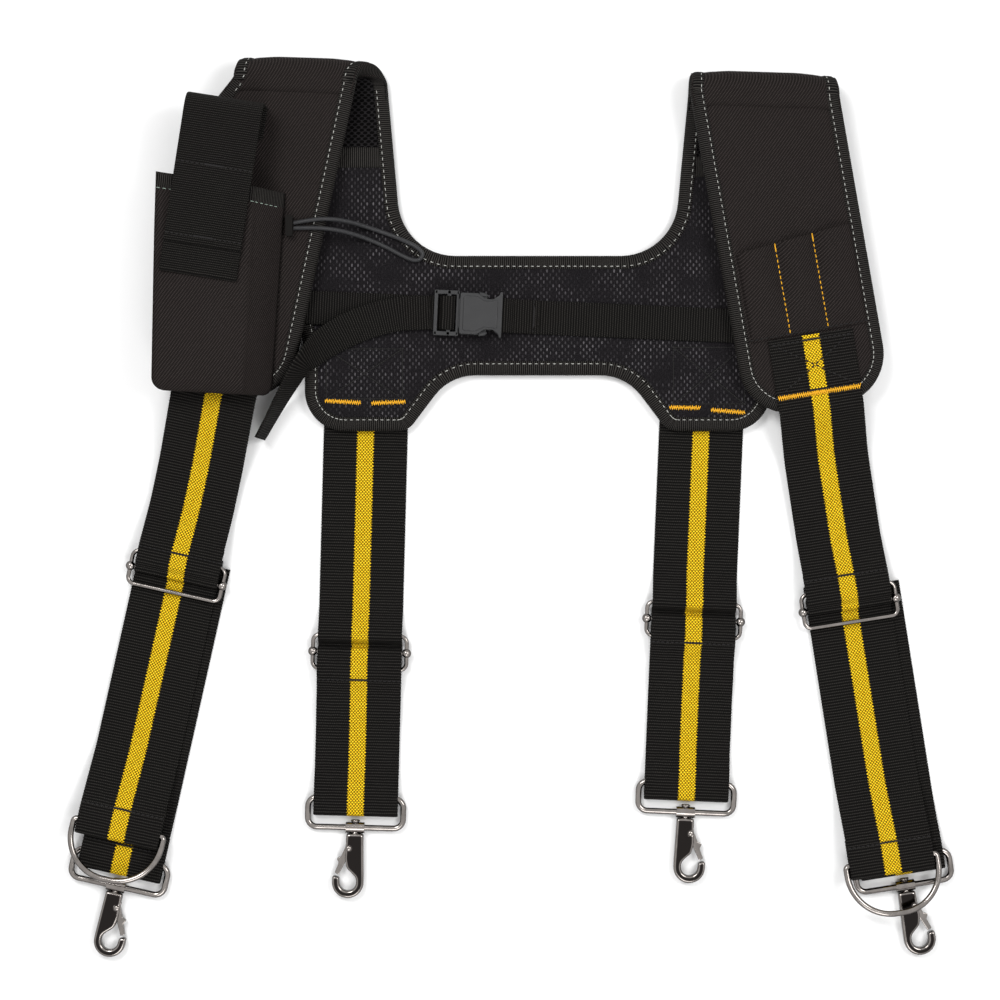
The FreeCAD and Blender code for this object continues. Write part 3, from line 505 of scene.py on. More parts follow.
def plastic_finish():
    """Matte moulded plastic with a fine spark-eroded grain."""
    f = Finish("buckle plastic")
    spot = f.place()
    grain = f.noise(spot, 2600.0, 3.0, 0.6)
    cloudy = f.noise(spot, 120.0, 3.0)
    color = f.mix(cloudy, (0.018, 0.018, 0.019), (0.030, 0.030, 0.031))
    roughness = f.add(f.times(grain, 0.16), 0.34)
    normal = f.bump(grain, 0.00006, 0.5)
    return f.finish(color, roughness, normal, Specular_IOR_Level=0.28)


def thread_finish(name, dark, light):
    """Twisted sewing thread."""
    f = Finish(name)
    spot = f.place()
    x, y, z = f.split(spot)
    twist = f.wave(f.add(f.add(x, y), z), 0.00035)
    uneven = f.noise(spot, 900.0, 3.0)
    color = f.mix(f.times(f.add(twist, uneven), 0.5), dark, light)
    return f.finish(color, 0.6, f.bump(twist, 0.00005, 0.6), Specular_IOR_Level=0.15)


def braid_finish():
    """Braided cover of the elastic cord, its braid crests painted lighter as a painted sheen."""
    f = Finish("elastic braid")
    spot = f.place()
    x, _, z = f.split(spot)
    x, z = f.times(x, 1000.0), f.times(z, 1400.0)
    weave = f.math("MAXIMUM", f.wave(f.add(x, z), 0.8), f.wave(f.sub(x, z), 0.8))
    grain = f.noise(spot, 1500.0, 3.0)
    # lighter braid crests: painted sheen on the black cord
    color = f.mix(f.times(weave, f.add(grain, 0.1)), (0.005, 0.005, 0.0055),
                  (0.034, 0.034, 0.037))
    return f.finish(color, 0.5, f.bump(weave, 0.00012, 0.7), Specular_IOR_Level=0.3)


striped = webbing_finish("striped webbing", True, RIB)
narrow = webbing_finish("narrow webbing", False, 1.5)
plain = webbing_finish("flap webbing", False, 1.3)
tape = tape_finish()
twill = twill_finish()
air_mesh = mesh_finish("air mesh", False)
spacer_mesh = mesh_finish("spacer mesh", True)
nickel = metal_finish("black nickel", False)
casting = metal_finish("cast nickel", True)
plastic = plastic_finish()
white_thread = thread_finish("white thread", (0.30, 0.30, 0.28), (0.68, 0.68, 0.64))
green_thread = thread_finish("green thread", (0.16, 0.22, 0.18), (0.42, 0.50, 0.44))
amber_thread = thread_finish("amber thread", (0.62, 0.27, 0.010), (0.95, 0.52, 0.030))
black_thread = thread_finish("black thread", (0.004, 0.004, 0.004), (0.022, 0.020, 0.020))
braid = braid_finish()

# ---------------------------------------------------------------- elastic cord

CORD_ROUTE = [
    (-143.0, 52.6, 23.9), (-133.5, 54.4, 24.1), (-122.5, 55.2, 24.0), (-111.5, 54.2, 19.0),
    (-100.5, 51.5, 12.2), (-88.5, 47.6, 10.5), (-78.0, 43.4, 10.4), (-70.2, 39.2, 10.4),
    (-67.3, 34.8, 10.4), (-71.5, 31.4, 10.4), (-79.0, 34.2, 10.4), (-89.0, 39.8, 10.4),
    (-99.8, 44.4, 12.0), (-111.0, 47.6, 18.6), (-122.5, 49.4, 23.8), (-133.0, 49.9, 24.1),
    (-143.0, 49.6, 23.9),
]
CORD_DIAMETER = 2.6


def make_cord():
    data = bpy.data.curves.new("elastic_loop", "CURVE")
    data.dimensions = "3D"
    data.bevel_depth = CORD_DIAMETER / 2 * MM
    data.bevel_resolution = 3
    data.use_fill_caps = True
    spline = data.splines.new("NURBS")
    spline.points.add(len(CORD_ROUTE) - 1)
    for point, spot in zip(spline.points, CORD_ROUTE):
        point.co = (*(c * MM for c in spot), 1.0)
    spline.order_u = 3
    spline.use_endpoint_u = True
    spline.resolution_u = 10
    data.materials.append(braid)
    piece = placed("elastic_loop", data)
    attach(piece, "front")
    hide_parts("elastic_cord")


make_cord()

# ---------------------------------------------------------------- places


def fold_level(across):
    return FOLD_LEVEL - math.tan(math.radians(FOLD_SLANT)) * across


PAD_TURN = {"left": -12.3, "right": 10.2}
PAD_AT = {"left": -150.0, "right": 132.5}
PAD_HALF = 43.0
PAD_LENGTH = 187.0
PAD_TILT = 1.8
PAD_TUCK = {"left": 15.0, "right": 0.0}    # how far the outer top corner is drawn in
TUCK_DROP = 30.0


def pad_place(side):
    across = PAD_AT[side]
    return frame_at(across, fold_level(across), PANEL + 2 * FOLD_GAP, PAD_TURN[side], PAD_TILT)


def on_pad(side, x, y, lift, turn):
    base = pad_place(side).translation
    z = base.z + (y - base.y) * math.tan(math.radians(PAD_TILT))
    tipped = frame_at(x, y, z, 0.0, PAD_TILT)
    return tipped @ frame_at(0, 0, PANEL + lift, turn)


REAR = {
    "left": {"anchor": (-102.0, -64.9), "turn": -1.5, "slider": -134.5, "ring": -221.0},
    "right": {"anchor": (97.0, -67.9), "turn": -2.4, "slider": -112.5, "ring": -209.0},
}
FRONT = {
    "left": {"anchor": (-191.0, -51.5), "turn": -12.6, "slider": -105.0, "ring": -275.0,
             "belt_ring": -257.0, "shift": 5.0, "edge": 1.0},
    "right": {"anchor": (164.5, -46.0), "turn": 9.0, "slider": -127.0, "ring": -279.0,
              "belt_ring": -279.0, "shift": 7.0, "edge": -10.0},
}
BELT_RING_LEVEL = 10.8


def strap_place(strap):
    return frame_at(*strap["anchor"], 0.0, strap["turn"])


def distance_to(points, lines):
    """How far each point lies from the nearest of some polylines, seen from above."""
    best = np.full(len(points), 1e9)
    flat = points[:, :2]
    for line in lines:
        line = np.asarray(line, float)[:, :2]
        for a, b in zip(line, line[1:]):
            way = b - a
            size = float(way @ way)
            if size < 1e-12:
                continue
            share = np.clip(((flat - a) @ way) / size, 0, 1)
            gap = np.linalg.norm(flat - a - share[:, None] * way, axis=1)
            best = np.minimum(best, gap)
    return best


def rise(value, low, high):
    """Smooth step from 0 at low to 1 at high."""
    t = np.clip((value - low) / (high - low), 0, 1)
    return t * t * (3 - 2 * t)


def rise_at(value, low, high):
    """The same for one number."""
    return float(rise(np.array([value]), low, high)[0])


# ---------------------------------------------------------------- padded panels

NECK = rounded([(89.0, fold_level(89.0), 0, 0), (80.0, 35.4, 0, 34.0), (-80.0, 35.4, 0, 34.0),
                (-89.0, fold_level(-89.0), 0, 0)])
SKIRT = rounded([
    (-172.0, fold_level(-172.0), 0, 0), (-138.0, -20.0, 0, 60.0), (-138.0, -68.5, 0, 24.0),
    (-77.0, -68.5, 0, 12.0), (-52.0, -35.4, 0, 30.0), (52.0, -35.4, 0, 30.0),
    (77.0, -68.5, 0, 12.0), (138.0, -68.5, 0, 24.0), (138.0, -20.0, 0, 60.0),
    (172.0, fold_level(172.0), 0, 0)])


def pad_edge(side):
    slope = -math.tan(math.radians(FOLD_SLANT + PAD_TURN[side]))
    start = -PAD_HALF + PAD_TUCK[side]
    corners = [(start, slope * start, 0, 0)]
    if PAD_TUCK[side]:
        corners.append((-PAD_HALF, slope * start - TUCK_DROP, 0, 30.0))
    return rounded(corners + [(-PAD_HALF, -PAD_LENGTH, 0, 30.0),
                              (PAD_HALF, -PAD_LENGTH, 0, 30.0),
                              (PAD_HALF, slope * PAD_HALF, 0, 0)])


CLOTH_STEPS = 20
PANEL_VOXEL = 3.5
PANEL_PRESSURE = 4.0


def joined_copy(name, nodes):
    work = bmesh.new()
    for node in nodes:
        work.from_mesh(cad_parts[node].data)
    bmesh.ops.remove_doubles(work, verts=work.verts, dist=1e-6)
    return placed(name, mesh_of(name, work))


def settled(piece):
    """Puts the piece's modified mesh in its place and takes its modifiers off."""
    graph = bpy.context.evaluated_depsgraph_get()
    graph.update()
    fresh = bpy.data.meshes.new_from_object(piece.evaluated_get(graph), depsgraph=graph)
    piece.modifiers.clear()
    piece.data = fresh
    return piece


def swollen(name, nodes, cap):
    """A stuffed panel. cap gives how far up each point may rise, in mm; 0 is sewn down."""
    piece = joined_copy(name, nodes)
    remeshed(piece, PANEL_VOXEL)
    mesh = piece.data
    rest = np.array([v.co for v in mesh.vertices])
    limit = cap(rest / MM)
    free = limit > 0.3
    group = piece.vertex_groups.new(name="sewn")
    group.add([int(i) for i in np.nonzero(~free)[0]], 1.0, "REPLACE")
    cloth = piece.modifiers.new("cloth", "CLOTH")
    cloth.settings.vertex_group_mass = "sewn"
    cloth.settings.quality = 6
    cloth.settings.mass = 0.3
    cloth.settings.tension_stiffness = 12
    cloth.settings.compression_stiffness = 12
    cloth.settings.bending_stiffness = 0.6
    cloth.settings.use_pressure = True
    cloth.settings.uniform_pressure_force = PANEL_PRESSURE
    cloth.settings.effector_weights.gravity = 0.0
    cloth.collision_settings.use_collision = False
    cloth.point_cache.frame_start = 1
    cloth.point_cache.frame_end = CLOTH_STEPS
    for step in range(1, CLOTH_STEPS + 1):
        bpy.context.scene.frame_set(step)
    settled(piece)
    mesh = piece.data
    moved = np.array([v.co for v in mesh.vertices])
    bpy.context.scene.frame_set(1)
    shift = moved - rest
    size = np.linalg.norm(shift, axis=1)
    most = np.maximum(limit, 0.0) * MM
    shift *= np.where(size > most, most / np.maximum(size, 1e-12), 1.0)[:, None]
    down = shift[:, 2] < 0
    shift[down, 2] *= 0.1
    final = rest + shift
    mesh.vertices.foreach_set("co", final.ravel())
    relaxed(mesh, 1)
    finer = piece.modifiers.new("finer", "SUBSURF")
    finer.levels = 1
    finer.render_levels = 1
    settled(piece)
    all_smooth(piece.data)
    return piece


def two_faced(piece, top, under, level):
    """The first material on faces that look up, the second on the others."""
    piece.data.materials.clear()
    piece.data.materials.append(top)
    piece.data.materials.append(under)
    picks = [0 if face.normal.z > 0.05 else 1 for face in piece.data.polygons]
    if level is not None:
        piece.data.materials.append(spacer_mesh)
        for index, face in enumerate(piece.data.polygons):
            side = "left" if face.center.x < 0 else "right"
            if picks[index] == 0 and face.center.y / MM > level[side]:
                picks[index] = 2
    piece.data.polygons.foreach_set("material_index", picks)


def second_where(piece, place, chosen):
    """The second material on faces whose middle, in that place, is chosen."""
    back = place.inverted()
    picks = [int(bool(chosen(*put(back, [[c / MM for c in face.center]])[0])))
             for face in piece.data.polygons]
    piece.data.polygons.foreach_set("material_index", picks)


CHEST = frame_at(-33.6, 0.0, 10.05, -92.5)
TAIL_SPOTS = [
    (-63.6, 1.3, 11.65, 0, 177.5), (-84.0, 0.0, 11.75, 0, 185), (-112.0, -9.0, 12.6, 14, 203),
    (-128.5, -19.5, 16.0, 38, 217), (-137.0, -28.5, 20.5, 60, 230),
    (-147.0, -43.5, 16.5, 71, 236), (-156.5, -59.5, 11.4, 77, 240),
    (-164.0, -73.0, 10.8, 80, 242),
]
SEAM_LEVEL = {"left": 98.0, "right": 92.5}
LOBE_BOX = {"left": (-125.0, -80.0, -20.0, -49.5), "right": (80.0, 122.0, -19.0, -52.5)}


def box_lines(side):
    """The stitched box and its diagonals that hold a rear strap."""
    x0, x1, y0, y1 = LOBE_BOX[side]
    return [[(x0, y0, 0), (x1, y0, 0)], [(x0, y1, 0), (x1, y1, 0)],
            [(x0, y0, 0), (x0, y1, 0)], [(x1, y0, 0), (x1, y1, 0)],
            [(x0, y0, 0), (x1, y1, 0)], [(x0, y1, 0), (x1, y0, 0)]]


def yoke_cap(points):
    """The yoke rises between its binding and seams, less where the chest strap lies on it."""
    edge = distance_to(points, [NECK, SKIRT])
    limit = 2.4 * rise(edge, 7.0, 24.0)
    quilting = distance_to(points, box_lines("left") + box_lines("right"))
    limit *= 0.30 + 0.70 * rise(quilting, 1.0, 8.0)
    limit[quilting < 1.6] = 0.0
    strap = [put(CHEST, [(0, -125, 0), (0, 165, 0)])]
    limit = np.minimum(limit, 0.35 + 2.2 * rise(distance_to(points, strap), 13.0, 27.0))
    tail = [np.array([s[:3] for s in TAIL_SPOTS])]
    limit = np.minimum(limit, 0.4 + 2.2 * rise(distance_to(points, tail), 11.0, 22.0))
    cord = [np.array([s for s in CORD_ROUTE if s[0] > -106])]
    limit = np.minimum(limit, 0.35 + 2.2 * rise(distance_to(points, cord), 3.0, 12.0))
    limit[edge < 7.5] = 0.0
    limit[points[:, 1] > 126] *= 0.4
    limit[points[:, 2] < 4.0] = 0.0
    return limit


def front_cap(side):
    place = pad_place(side)
    edge_line = put(place, pad_edge(side))
    back = place.inverted()

    def cap(points):
        local = put(back, points)
        edge = distance_to(points, [edge_line])
        limit = 2.6 * rise(edge, 7.0, 22.0)
        flat_from = -46.0 if side == "left" else -84.0
        limit *= rise(local[:, 1], flat_from, flat_from + 14.0)
        limit[edge < 7.5] = 0.0
        if side == "left":
            seat = put(on_pad("left", -180.5, 121.0, 0, -9.0).inverted(), points)
            under = np.maximum(np.abs(seat[:, 0]) - 25, np.abs(seat[:, 1] + 7) - 11)
            limit = np.minimum(limit, 2.6 * rise(under, 0.0, 9.0))
        limit *= 0.35 + 0.65 * rise(-local[:, 1], 0.0, 14.0)
        limit[local[:, 2] < 4.0] = 0.0
        return limit

    return cap


yoke_panel = swollen("yoke_panel", ["yoke_shell", "yoke_foam", "yoke_lining"], yoke_cap)
two_faced(yoke_panel, air_mesh, twill, SEAM_LEVEL)
stands_for(yoke_panel, "yoke", "air_mesh", "yoke_shell", "yoke_foam", "yoke_lining")
for side in ("left", "right"):
    panel = swollen("front_panel_" + side, ["front_pad_" + side], front_cap(side))
    two_faced(panel, twill, air_mesh, None)
    stands_for(panel, "front", "pad_cloth", "front_pad_" + side)

# ---------------------------------------------------------------- shoulder bends

FOLD = frame_at(0, FOLD_LEVEL, FOLD_HEIGHT, -FOLD_SLANT)
BEND_OUTER = FOLD_GAP + PANEL - 0.1
BEND_INNER = FOLD_GAP + 0.1


def bend_sides(side, share):
    """Where the bend's two edges lie across the fold, from the yoke's edge to the pad's."""
    slant = math.radians(FOLD_SLANT)
    low = (-172.0, -89.0) if side == "left" else (89.0, 172.0)
    reach = PAD_HALF / math.cos(math.radians(FOLD_SLANT + PAD_TURN[side]))
    middle = PAD_AT[side] / math.cos(slant)
    tuck = PAD_TUCK[side] * reach / PAD_HALF
    high = (middle - reach + tuck, middle + reach)
    t = share * share * (3 - 2 * share)
    return tuple(a / math.cos(slant) * (1 - t) + b * t for a, b in zip(low, high))


SLEEVES = ((9.0, -0.7), (6.0, 0.25), (3.0, 0.5))


def bend_rows():
    """Share, angle, distance past the fold and extra fullness of each row of a bend."""
    yoke_side = [(0.0, -math.pi / 2, far, more) for far, more in SLEEVES]
    arc = [(k / 28, -math.pi / 2 + k / 28 * math.pi, 0.0, 0.5) for k in range(29)]
    pad_side = [(1.0, math.pi / 2, far, more) for far, more in SLEEVES[::-1]]
    return yoke_side + arc + pad_side


YOKE_END, PAD_END = 3.0, 21.8          # heights where a bend leaves the yoke and the pad


def bend_pair(side):
    """The two bodies that a bend joins, and where it leaves each."""
    middle = -131.0 if side == "left" else 131.0
    return "yoke", "front", (middle, FOLD_LEVEL, YOKE_END), (middle, FOLD_LEVEL, PAD_END)


def bend_drift(side, share, which):
    """How far the panel's edge moves across for each millimetre past the fold."""
    if share > 0.5:
        turn = math.tan(math.radians(FOLD_SLANT + PAD_TURN[side]))
        flare = PAD_TUCK[side] / TUCK_DROP * 0.9 if which == 0 else 0.0
        return turn - flare
    outer = (which == 0) == (side == "left")
    sign = 1 if side == "left" else -1
    return sign * (0.22 if outer else 0.09)


def make_bend(side):
    """The padded panel turning over a shoulder, fuller in its middle."""
    rows, columns = [], 34
    for share, angle, far, more in bend_rows():
        left, right = bend_sides(side, share)
        left += 1.0 + far * bend_drift(side, share, 0)
        right += -1.0 + far * bend_drift(side, share, 1)
        row = []
        for skin in (1, -1):
            for k in range(columns + 1):
                along = k / columns
                across = left + (right - left) * (along if skin > 0 else 1 - along)
                inside = min(along, 1 - along) * (right - left)
                crown = rise_at(inside, 7.0, 24.0) * math.sin(share * math.pi)
                fuller = more * rise_at(inside, 6.0, 12.0)
                rim = 0.5 if inside < 7.2 else 0.0
                if skin > 0:
                    radius = BEND_OUTER + crown + fuller - rim
                else:
                    radius = BEND_INNER - fuller * 0.6 + rim
                row.append((across, math.cos(angle) * radius + 0.1 - far,
                            math.sin(angle) * radius))
        rows.append(row)
    piece = loft("shoulder_" + side, rows, [twill, spacer_mesh], place=FOLD)
    middle = (BEND_OUTER + BEND_INNER) / 2
    second_where(piece, FOLD, lambda x, y, z: math.hypot(max(y, 0.0), z) <= middle)
    stands_for(piece, None, "air_mesh", "shoulder_bend_" + side, pair=bend_pair(side))


for side in ("left", "right"):
    make_bend(side)

# ---------------------------------------------------------------- binding tape and threads

TAPE_STEP = 0.6


def tape_rows(points, inward, normal):
    """Sections of folded tape round an edge. Points lie on the edge, mid-thickness."""
    half = PANEL / 2
    profile = [(TAPE_WIDTH + 0.3, half - 0.9), (TAPE_WIDTH, half + 0.05), (6.9, half + 0.28),
               (4.9, half + 0.30), (2.9, half + 0.12), (1.4, half - 0.75), (0.35, half - 2.2),
               (0.0, 0.0)]
    profile = profile + [(x, -z) for x, z in profile[-2::-1]]
    outline = np.array(profile)
    lengths = np.concatenate([[0], np.cumsum(np.linalg.norm(np.diff(outline, axis=0), axis=1))])
    middle = outline.mean(axis=0)
    way = outline - middle
    way /= np.linalg.norm(way, axis=1)[:, None]
    rows, maps = [], []
    for index, (spot, into, up) in enumerate(zip(points, inward, normal)):
        swell = 0.07 if index % 2 else -0.07
        section = outline + way * swell
        rows.append(spot + np.outer(section[:, 0], into) + np.outer(section[:, 1], up))
        maps.append([(u / 10, index * TAPE_STEP / 10) for u in lengths])
    return rows, maps


def flat_inward(points, ways, place):
    """The points put in place, the direction to the left of travel, and up."""
    up = np.array([0, 0, 1.0])
    into = np.cross(np.tile(up, (len(points), 1)), ways)
    into /= np.linalg.norm(into, axis=1)[:, None]
    ups = np.tile(up, (len(points), 1))
    if place is not None:
        matrix = np.array(place)[:3, :3]
        into = into @ matrix.T
        ups = ups @ matrix.T
        points = put(place, points)
    return points, into, ups


threads = {}


def stitch(body, material, spot, way, length):
    threads.setdefault((body, material), []).append((tuple(spot), tuple(way), length))


def stitch_line(body, material, line, pitch, length, lift=0.0):
    """A row of stitches along a line."""
    points, ways, _ = evenly(np.asarray(line, float), pitch)
    for spot, way in zip(points, ways):
        stitch(body, material, spot + np.array([0, 0, lift]), way, length)


def edge_stitches(points, inward, normal, first, every, faces):
    """Stitches near the inner edge of the binding, as (spot, way, length)."""
    made = []
    for index in range(first, len(points) - first, every):
        way = points[index + 1] - points[index - 1]
        way /= np.linalg.norm(way)
        for face in faces:
            spot = (points[index] + inward[index] * STITCH_IN
                    + normal[index] * face * (PANEL / 2 + 0.33))
            made.append((tuple(spot), tuple(way), 2.05))
    return made


def bind(name, body, line, place, *nodes):
    points, ways, _ = evenly(line, TAPE_STEP)
    points = points + np.array([0, 0, PANEL / 2])
    points, into, ups = flat_inward(points, ways, place)
    rows, maps = tape_rows(points, into, ups)
    piece = loft(name, rows, tape, maps)
    stands_for(piece, body, "binding_tape", *nodes)
    for spot, way, length in edge_stitches(points, into, ups, 2, 6, (1, -1)):
        stitch(body, white_thread, spot, way, length)


bind("binding_neck", "yoke", NECK, None, "yoke_binding")
bind("binding_skirt", "yoke", SKIRT, None)
for side in ("left", "right"):
    bind("binding_front_" + side, "front", pad_edge(side), pad_place(side),
         "front_binding_" + side)


def bind_bend(side, which):
    """Binding over one edge of a shoulder bend, and its stitches."""
    radius = (BEND_OUTER + BEND_INNER) / 2
    past = 2.4
    line = [(bend_sides(side, 0.0)[which] + past * bend_drift(side, 0.0, which), -past, -radius)]
    for step in range(61):
        share = step / 60
        angle = -math.pi / 2 + share * math.pi
        line.append((bend_sides(side, share)[which], math.cos(angle) * radius,
                     math.sin(angle) * radius))
    line.append((bend_sides(side, 1.0)[which] + past * bend_drift(side, 1.0, which), -past,
                 radius))
    points, _, _ = evenly(np.array(line), TAPE_STEP)
    angles = np.arctan2(points[:, 2], np.maximum(points[:, 1], 0.0))
    into = np.tile((1.0 if which == 0 else -1.0, 0, 0), (len(points), 1))
    ups = np.stack([np.zeros(len(points)), np.cos(angles), np.sin(angles)], axis=1)
    matrix = np.array(FOLD)[:3, :3]
    points, into, ups = put(FOLD, points), into @ matrix.T, ups @ matrix.T
    rows, maps = tape_rows(points, into, ups)
    word = "inner" if (which == 0) == (side == "right") else "outer"
    piece = loft(f"binding_bend_{side}_{word}", rows, tape, maps)
    stands_for(piece, None, "binding_tape", pair=bend_pair(side))
    return edge_stitches(points, into, ups, 3, 5, (1,))


bend_threads = [thread for side in ("left", "right") for which in (0, 1)
                for thread in bind_bend(side, which)]

# ---------------------------------------------------------------- webbing

WIDE = {"width": 50.0, "material": striped, "relief": 0.12, "scallop": 0.2}
NARROW = {"width": 20.0, "material": narrow, "relief": 0.1, "scallop": 0.1}
FLAP_CLOTH = {"width": 45.0, "material": plain, "relief": 0.07, "scallop": 0.1}
NARROW_RIB = 1.5
FLAP_RIB = 1.3


def ribbon(name, points, ways, spots, across, width, material, relief, scallop):
    """A strip of ribbed webbing; its rows follow the line half a rib apart."""
    across = np.asarray(across, float)
    if across.ndim == 1:
        across = np.tile(across, (len(points), 1))
    up = np.cross(ways, across)
    up /= np.linalg.norm(up, axis=1)[:, None]
    shares = np.array([-1, -0.985, -0.95, -0.8, -0.5, -0.21, 0, 0.21, 0.5, 0.8, 0.95, 0.985, 1])
    fullness = np.array([0.45, 0.8, 1.0, 1, 1, 1, 1, 1, 1, 1, 1.0, 0.8, 0.45])
    rows, maps = [], []
    for index, spot in enumerate(points):
        high = index % 2 == 0
        half = width / 2 + (0 if high else -scallop)
        level = fullness * (WEB / 2 - (0 if high else relief))
        row, pairs = [], []
        for skin in (1, -1):
            for k in range(len(shares))[::skin]:
                row.append(spot + across[index] * shares[k] * half
                           + up[index] * skin * level[k])
                pairs.append((shares[k] * width / 20, spots[index] / 10))
        rows.append(row)
        maps.append(pairs)
    return loft(name, rows, material, maps)


class Side:
    """The side view of a strap's piece, in its strap's frame."""

    def __init__(self, place, path, rib):
        self.place = place
        line = rounded([(0, y, z, r) for y, z, r in path])
        self.points, self.ways, self.spots = evenly(line, rib / 2)

    def top(self, y, reach=1.0):
        near = np.abs(self.points[:, 1] - y) < reach
        return float(self.points[near][:, 2].max()) + WEB / 2

    def make(self, name, kind):
        matrix = np.array(self.place)[:3, :3]
        return ribbon(name, put(self.place, self.points), self.ways @ matrix.T, self.spots,
                      matrix @ np.array([1.0, 0, 0]), **kind)


def at(place, y, z=0.0, x=0.0):
    return tuple(put(place, [(x, y, z)])[0])


def cross_row(body, side, y, half=23.5, pitch=2.7, length=2.5):
    """A row of stitches across a strap, doubled over its middle stripe."""
    count = int(2 * half / pitch)
    level = side.top(y, 0.6) + 0.12
    way = turned(side.place, (1, 0, 0))
    for k in range(count + 1):
        x = -half + 2 * half * k / count
        stitch(body, black_thread, at(side.place, y, level, x), way, length)
    for k in range(14):
        spot = at(side.place, y + 0.42 * (k % 2), level, -4.8 + 1.6 * (k // 2))
        stitch(body, black_thread, spot, way, 2.6)


def rear_upper(strap):
    mid = strap["slider"]
    top = BACK_LEVEL + HUG
    return [(ANCHOR, LOW, 0), (mid + BAR_GAP + 16, LOW, 8), (mid + BAR_GAP + 2.5, top, 4),
            (mid + BAR_GAP - 1.8, top, 2), (mid + BAR_GAP / 2, LOW, 1.5), (mid - 1, LOW, 0)]


def rear_lower(strap):
    mid, ring = strap["slider"], strap["ring"]
    second, third = LOW + LAP, LOW + 2 * LAP
    high = RING_LEVEL + RING_HUG
    end = ring - HOOK_END
    over = BACK_LEVEL + HUG
    return [
        (mid - 1.05, LOW, 0), (end, LOW, RING_HUG), (end, high, RING_HUG),
        (ring + 6, high, 6), (ring + 18, second, 6),
        (mid - 45, second, 8), (mid - 37, third, 8), (mid - 23, third, 8),
        (mid - BAR_GAP - 3, over + LAP + 0.05, 3), (mid - BAR_GAP + 3.5, over + LAP + 0.05, 3),
        (mid - 1, over, 2.5), (mid + HUG, over, HUG), (mid + HUG, BACK_LEVEL - HUG, HUG),
        (mid - 2, BACK_LEVEL - HUG, 1.2), (mid - BAR_GAP + 2, over, 1.5),
        (mid - BAR_GAP - 2.5, over, 3), (mid - BAR_GAP - 11, second, 4),
        (mid - BAR_GAP - 24, second, 0),
    ]


def front_upper(strap, pad_low, pad_high):
    mid = strap["slider"]
    over = FRONT_LEVEL + HUG
    doubled = over + LAP
    sag = LOW + LAP + 2.0
    return [
        (ANCHOR, pad_high, 0), (strap["edge"], pad_low, 10), (-38, sag + 2, 30),
        (mid + 40, sag, 25), (mid + BAR_GAP + 5, doubled + LAP, 6),
        (mid + BAR_GAP / 2 - 0.4, doubled + LAP, 1.2), (mid + 1.1, over, 1.0),
        (mid - HUG, over, HUG), (mid - HUG, FRONT_LEVEL - HUG, HUG),
        (mid + 1.2, FRONT_LEVEL - HUG, 1.0), (mid + BAR_GAP / 2 + 0.3, doubled, 1.2),
        (mid + BAR_GAP + 3, doubled, 4), (mid + BAR_GAP + 11, doubled - 2.2, 0),
    ]


def front_run(strap):
    mid, ring = strap["slider"], strap["ring"]
    high = RING_LEVEL + RING_HUG
    end = ring - HOOK_END
    return [
        (mid + BAR_GAP, LOW, 0), (ring + 34, LOW, 8), (ring + 20, LOW + LAP, 8),
        (ring + 5, high, 8), (end, high, RING_HUG), (end, LOW, RING_HUG), (ring + 16, LOW, 0),
    ]


def front_tail(strap):
    mid, ring = strap["slider"], strap["belt_ring"]
    over = FRONT_LEVEL + HUG
    second = LOW + LAP
    wrap = (over - LOW) / 2
    above, below = BELT_RING_LEVEL + RING_HUG, BELT_RING_LEVEL - RING_HUG
    end = ring - 5 - RING_HUG
    return [
        (mid + BAR_GAP + 0.05, LOW, 0), (mid + BAR_GAP + wrap + 0.3, LOW, wrap - 0.1),
        (mid + BAR_GAP + wrap + 0.3, over, wrap - 0.1), (mid + BAR_GAP - 1.6, over, 2),
        (mid + BAR_GAP / 2 + 0.4, second, 1.5), (ring + 46, second, 30),
        (ring + 8, above, 12), (end, above, RING_HUG), (end, below, RING_HUG),
        (ring + 4, below, 12), (ring + 15, below + 0.5, 0),
    ]


def pad_face(side, place, along):
    spot = put(place, [(0, along, 0)])[0]
    base = pad_place(side).translation
    tilt = math.tan(math.radians(PAD_TILT))
    return base.z + PANEL + (spot[1] - base.y) * tilt + WEB / 2 + 2 * WEB_PLAY


def strap_piece(name, place, path, node, body=None, pair=None):
    """A piece of wide webbing in place of its solid."""
    side = Side(place, path, RIB)
    stands_for(side.make(name, WIDE), body, "webbing", node, pair=pair)
    return side


def rear_straps(side):
    strap = REAR[side]
    place = strap_place(strap)
    mid = strap["slider"]
    slider = f"rear_{side}_slider"
    strap_piece(f"rear_upper_{side}", place, rear_upper(strap), f"rear_strap_{side}",
                pair=("yoke", slider, at(place, -30), at(place, mid + 12)))
    lower = strap_piece(f"rear_lower_{side}", place, rear_lower(strap), f"rear_loop_{side}",
                        pair=(slider, f"rear_{side}_run", at(place, mid - 14),
                              at(place, mid - 60)))
    cross_row(slider, lower, mid - (16.5 if side == "left" else 13.5))


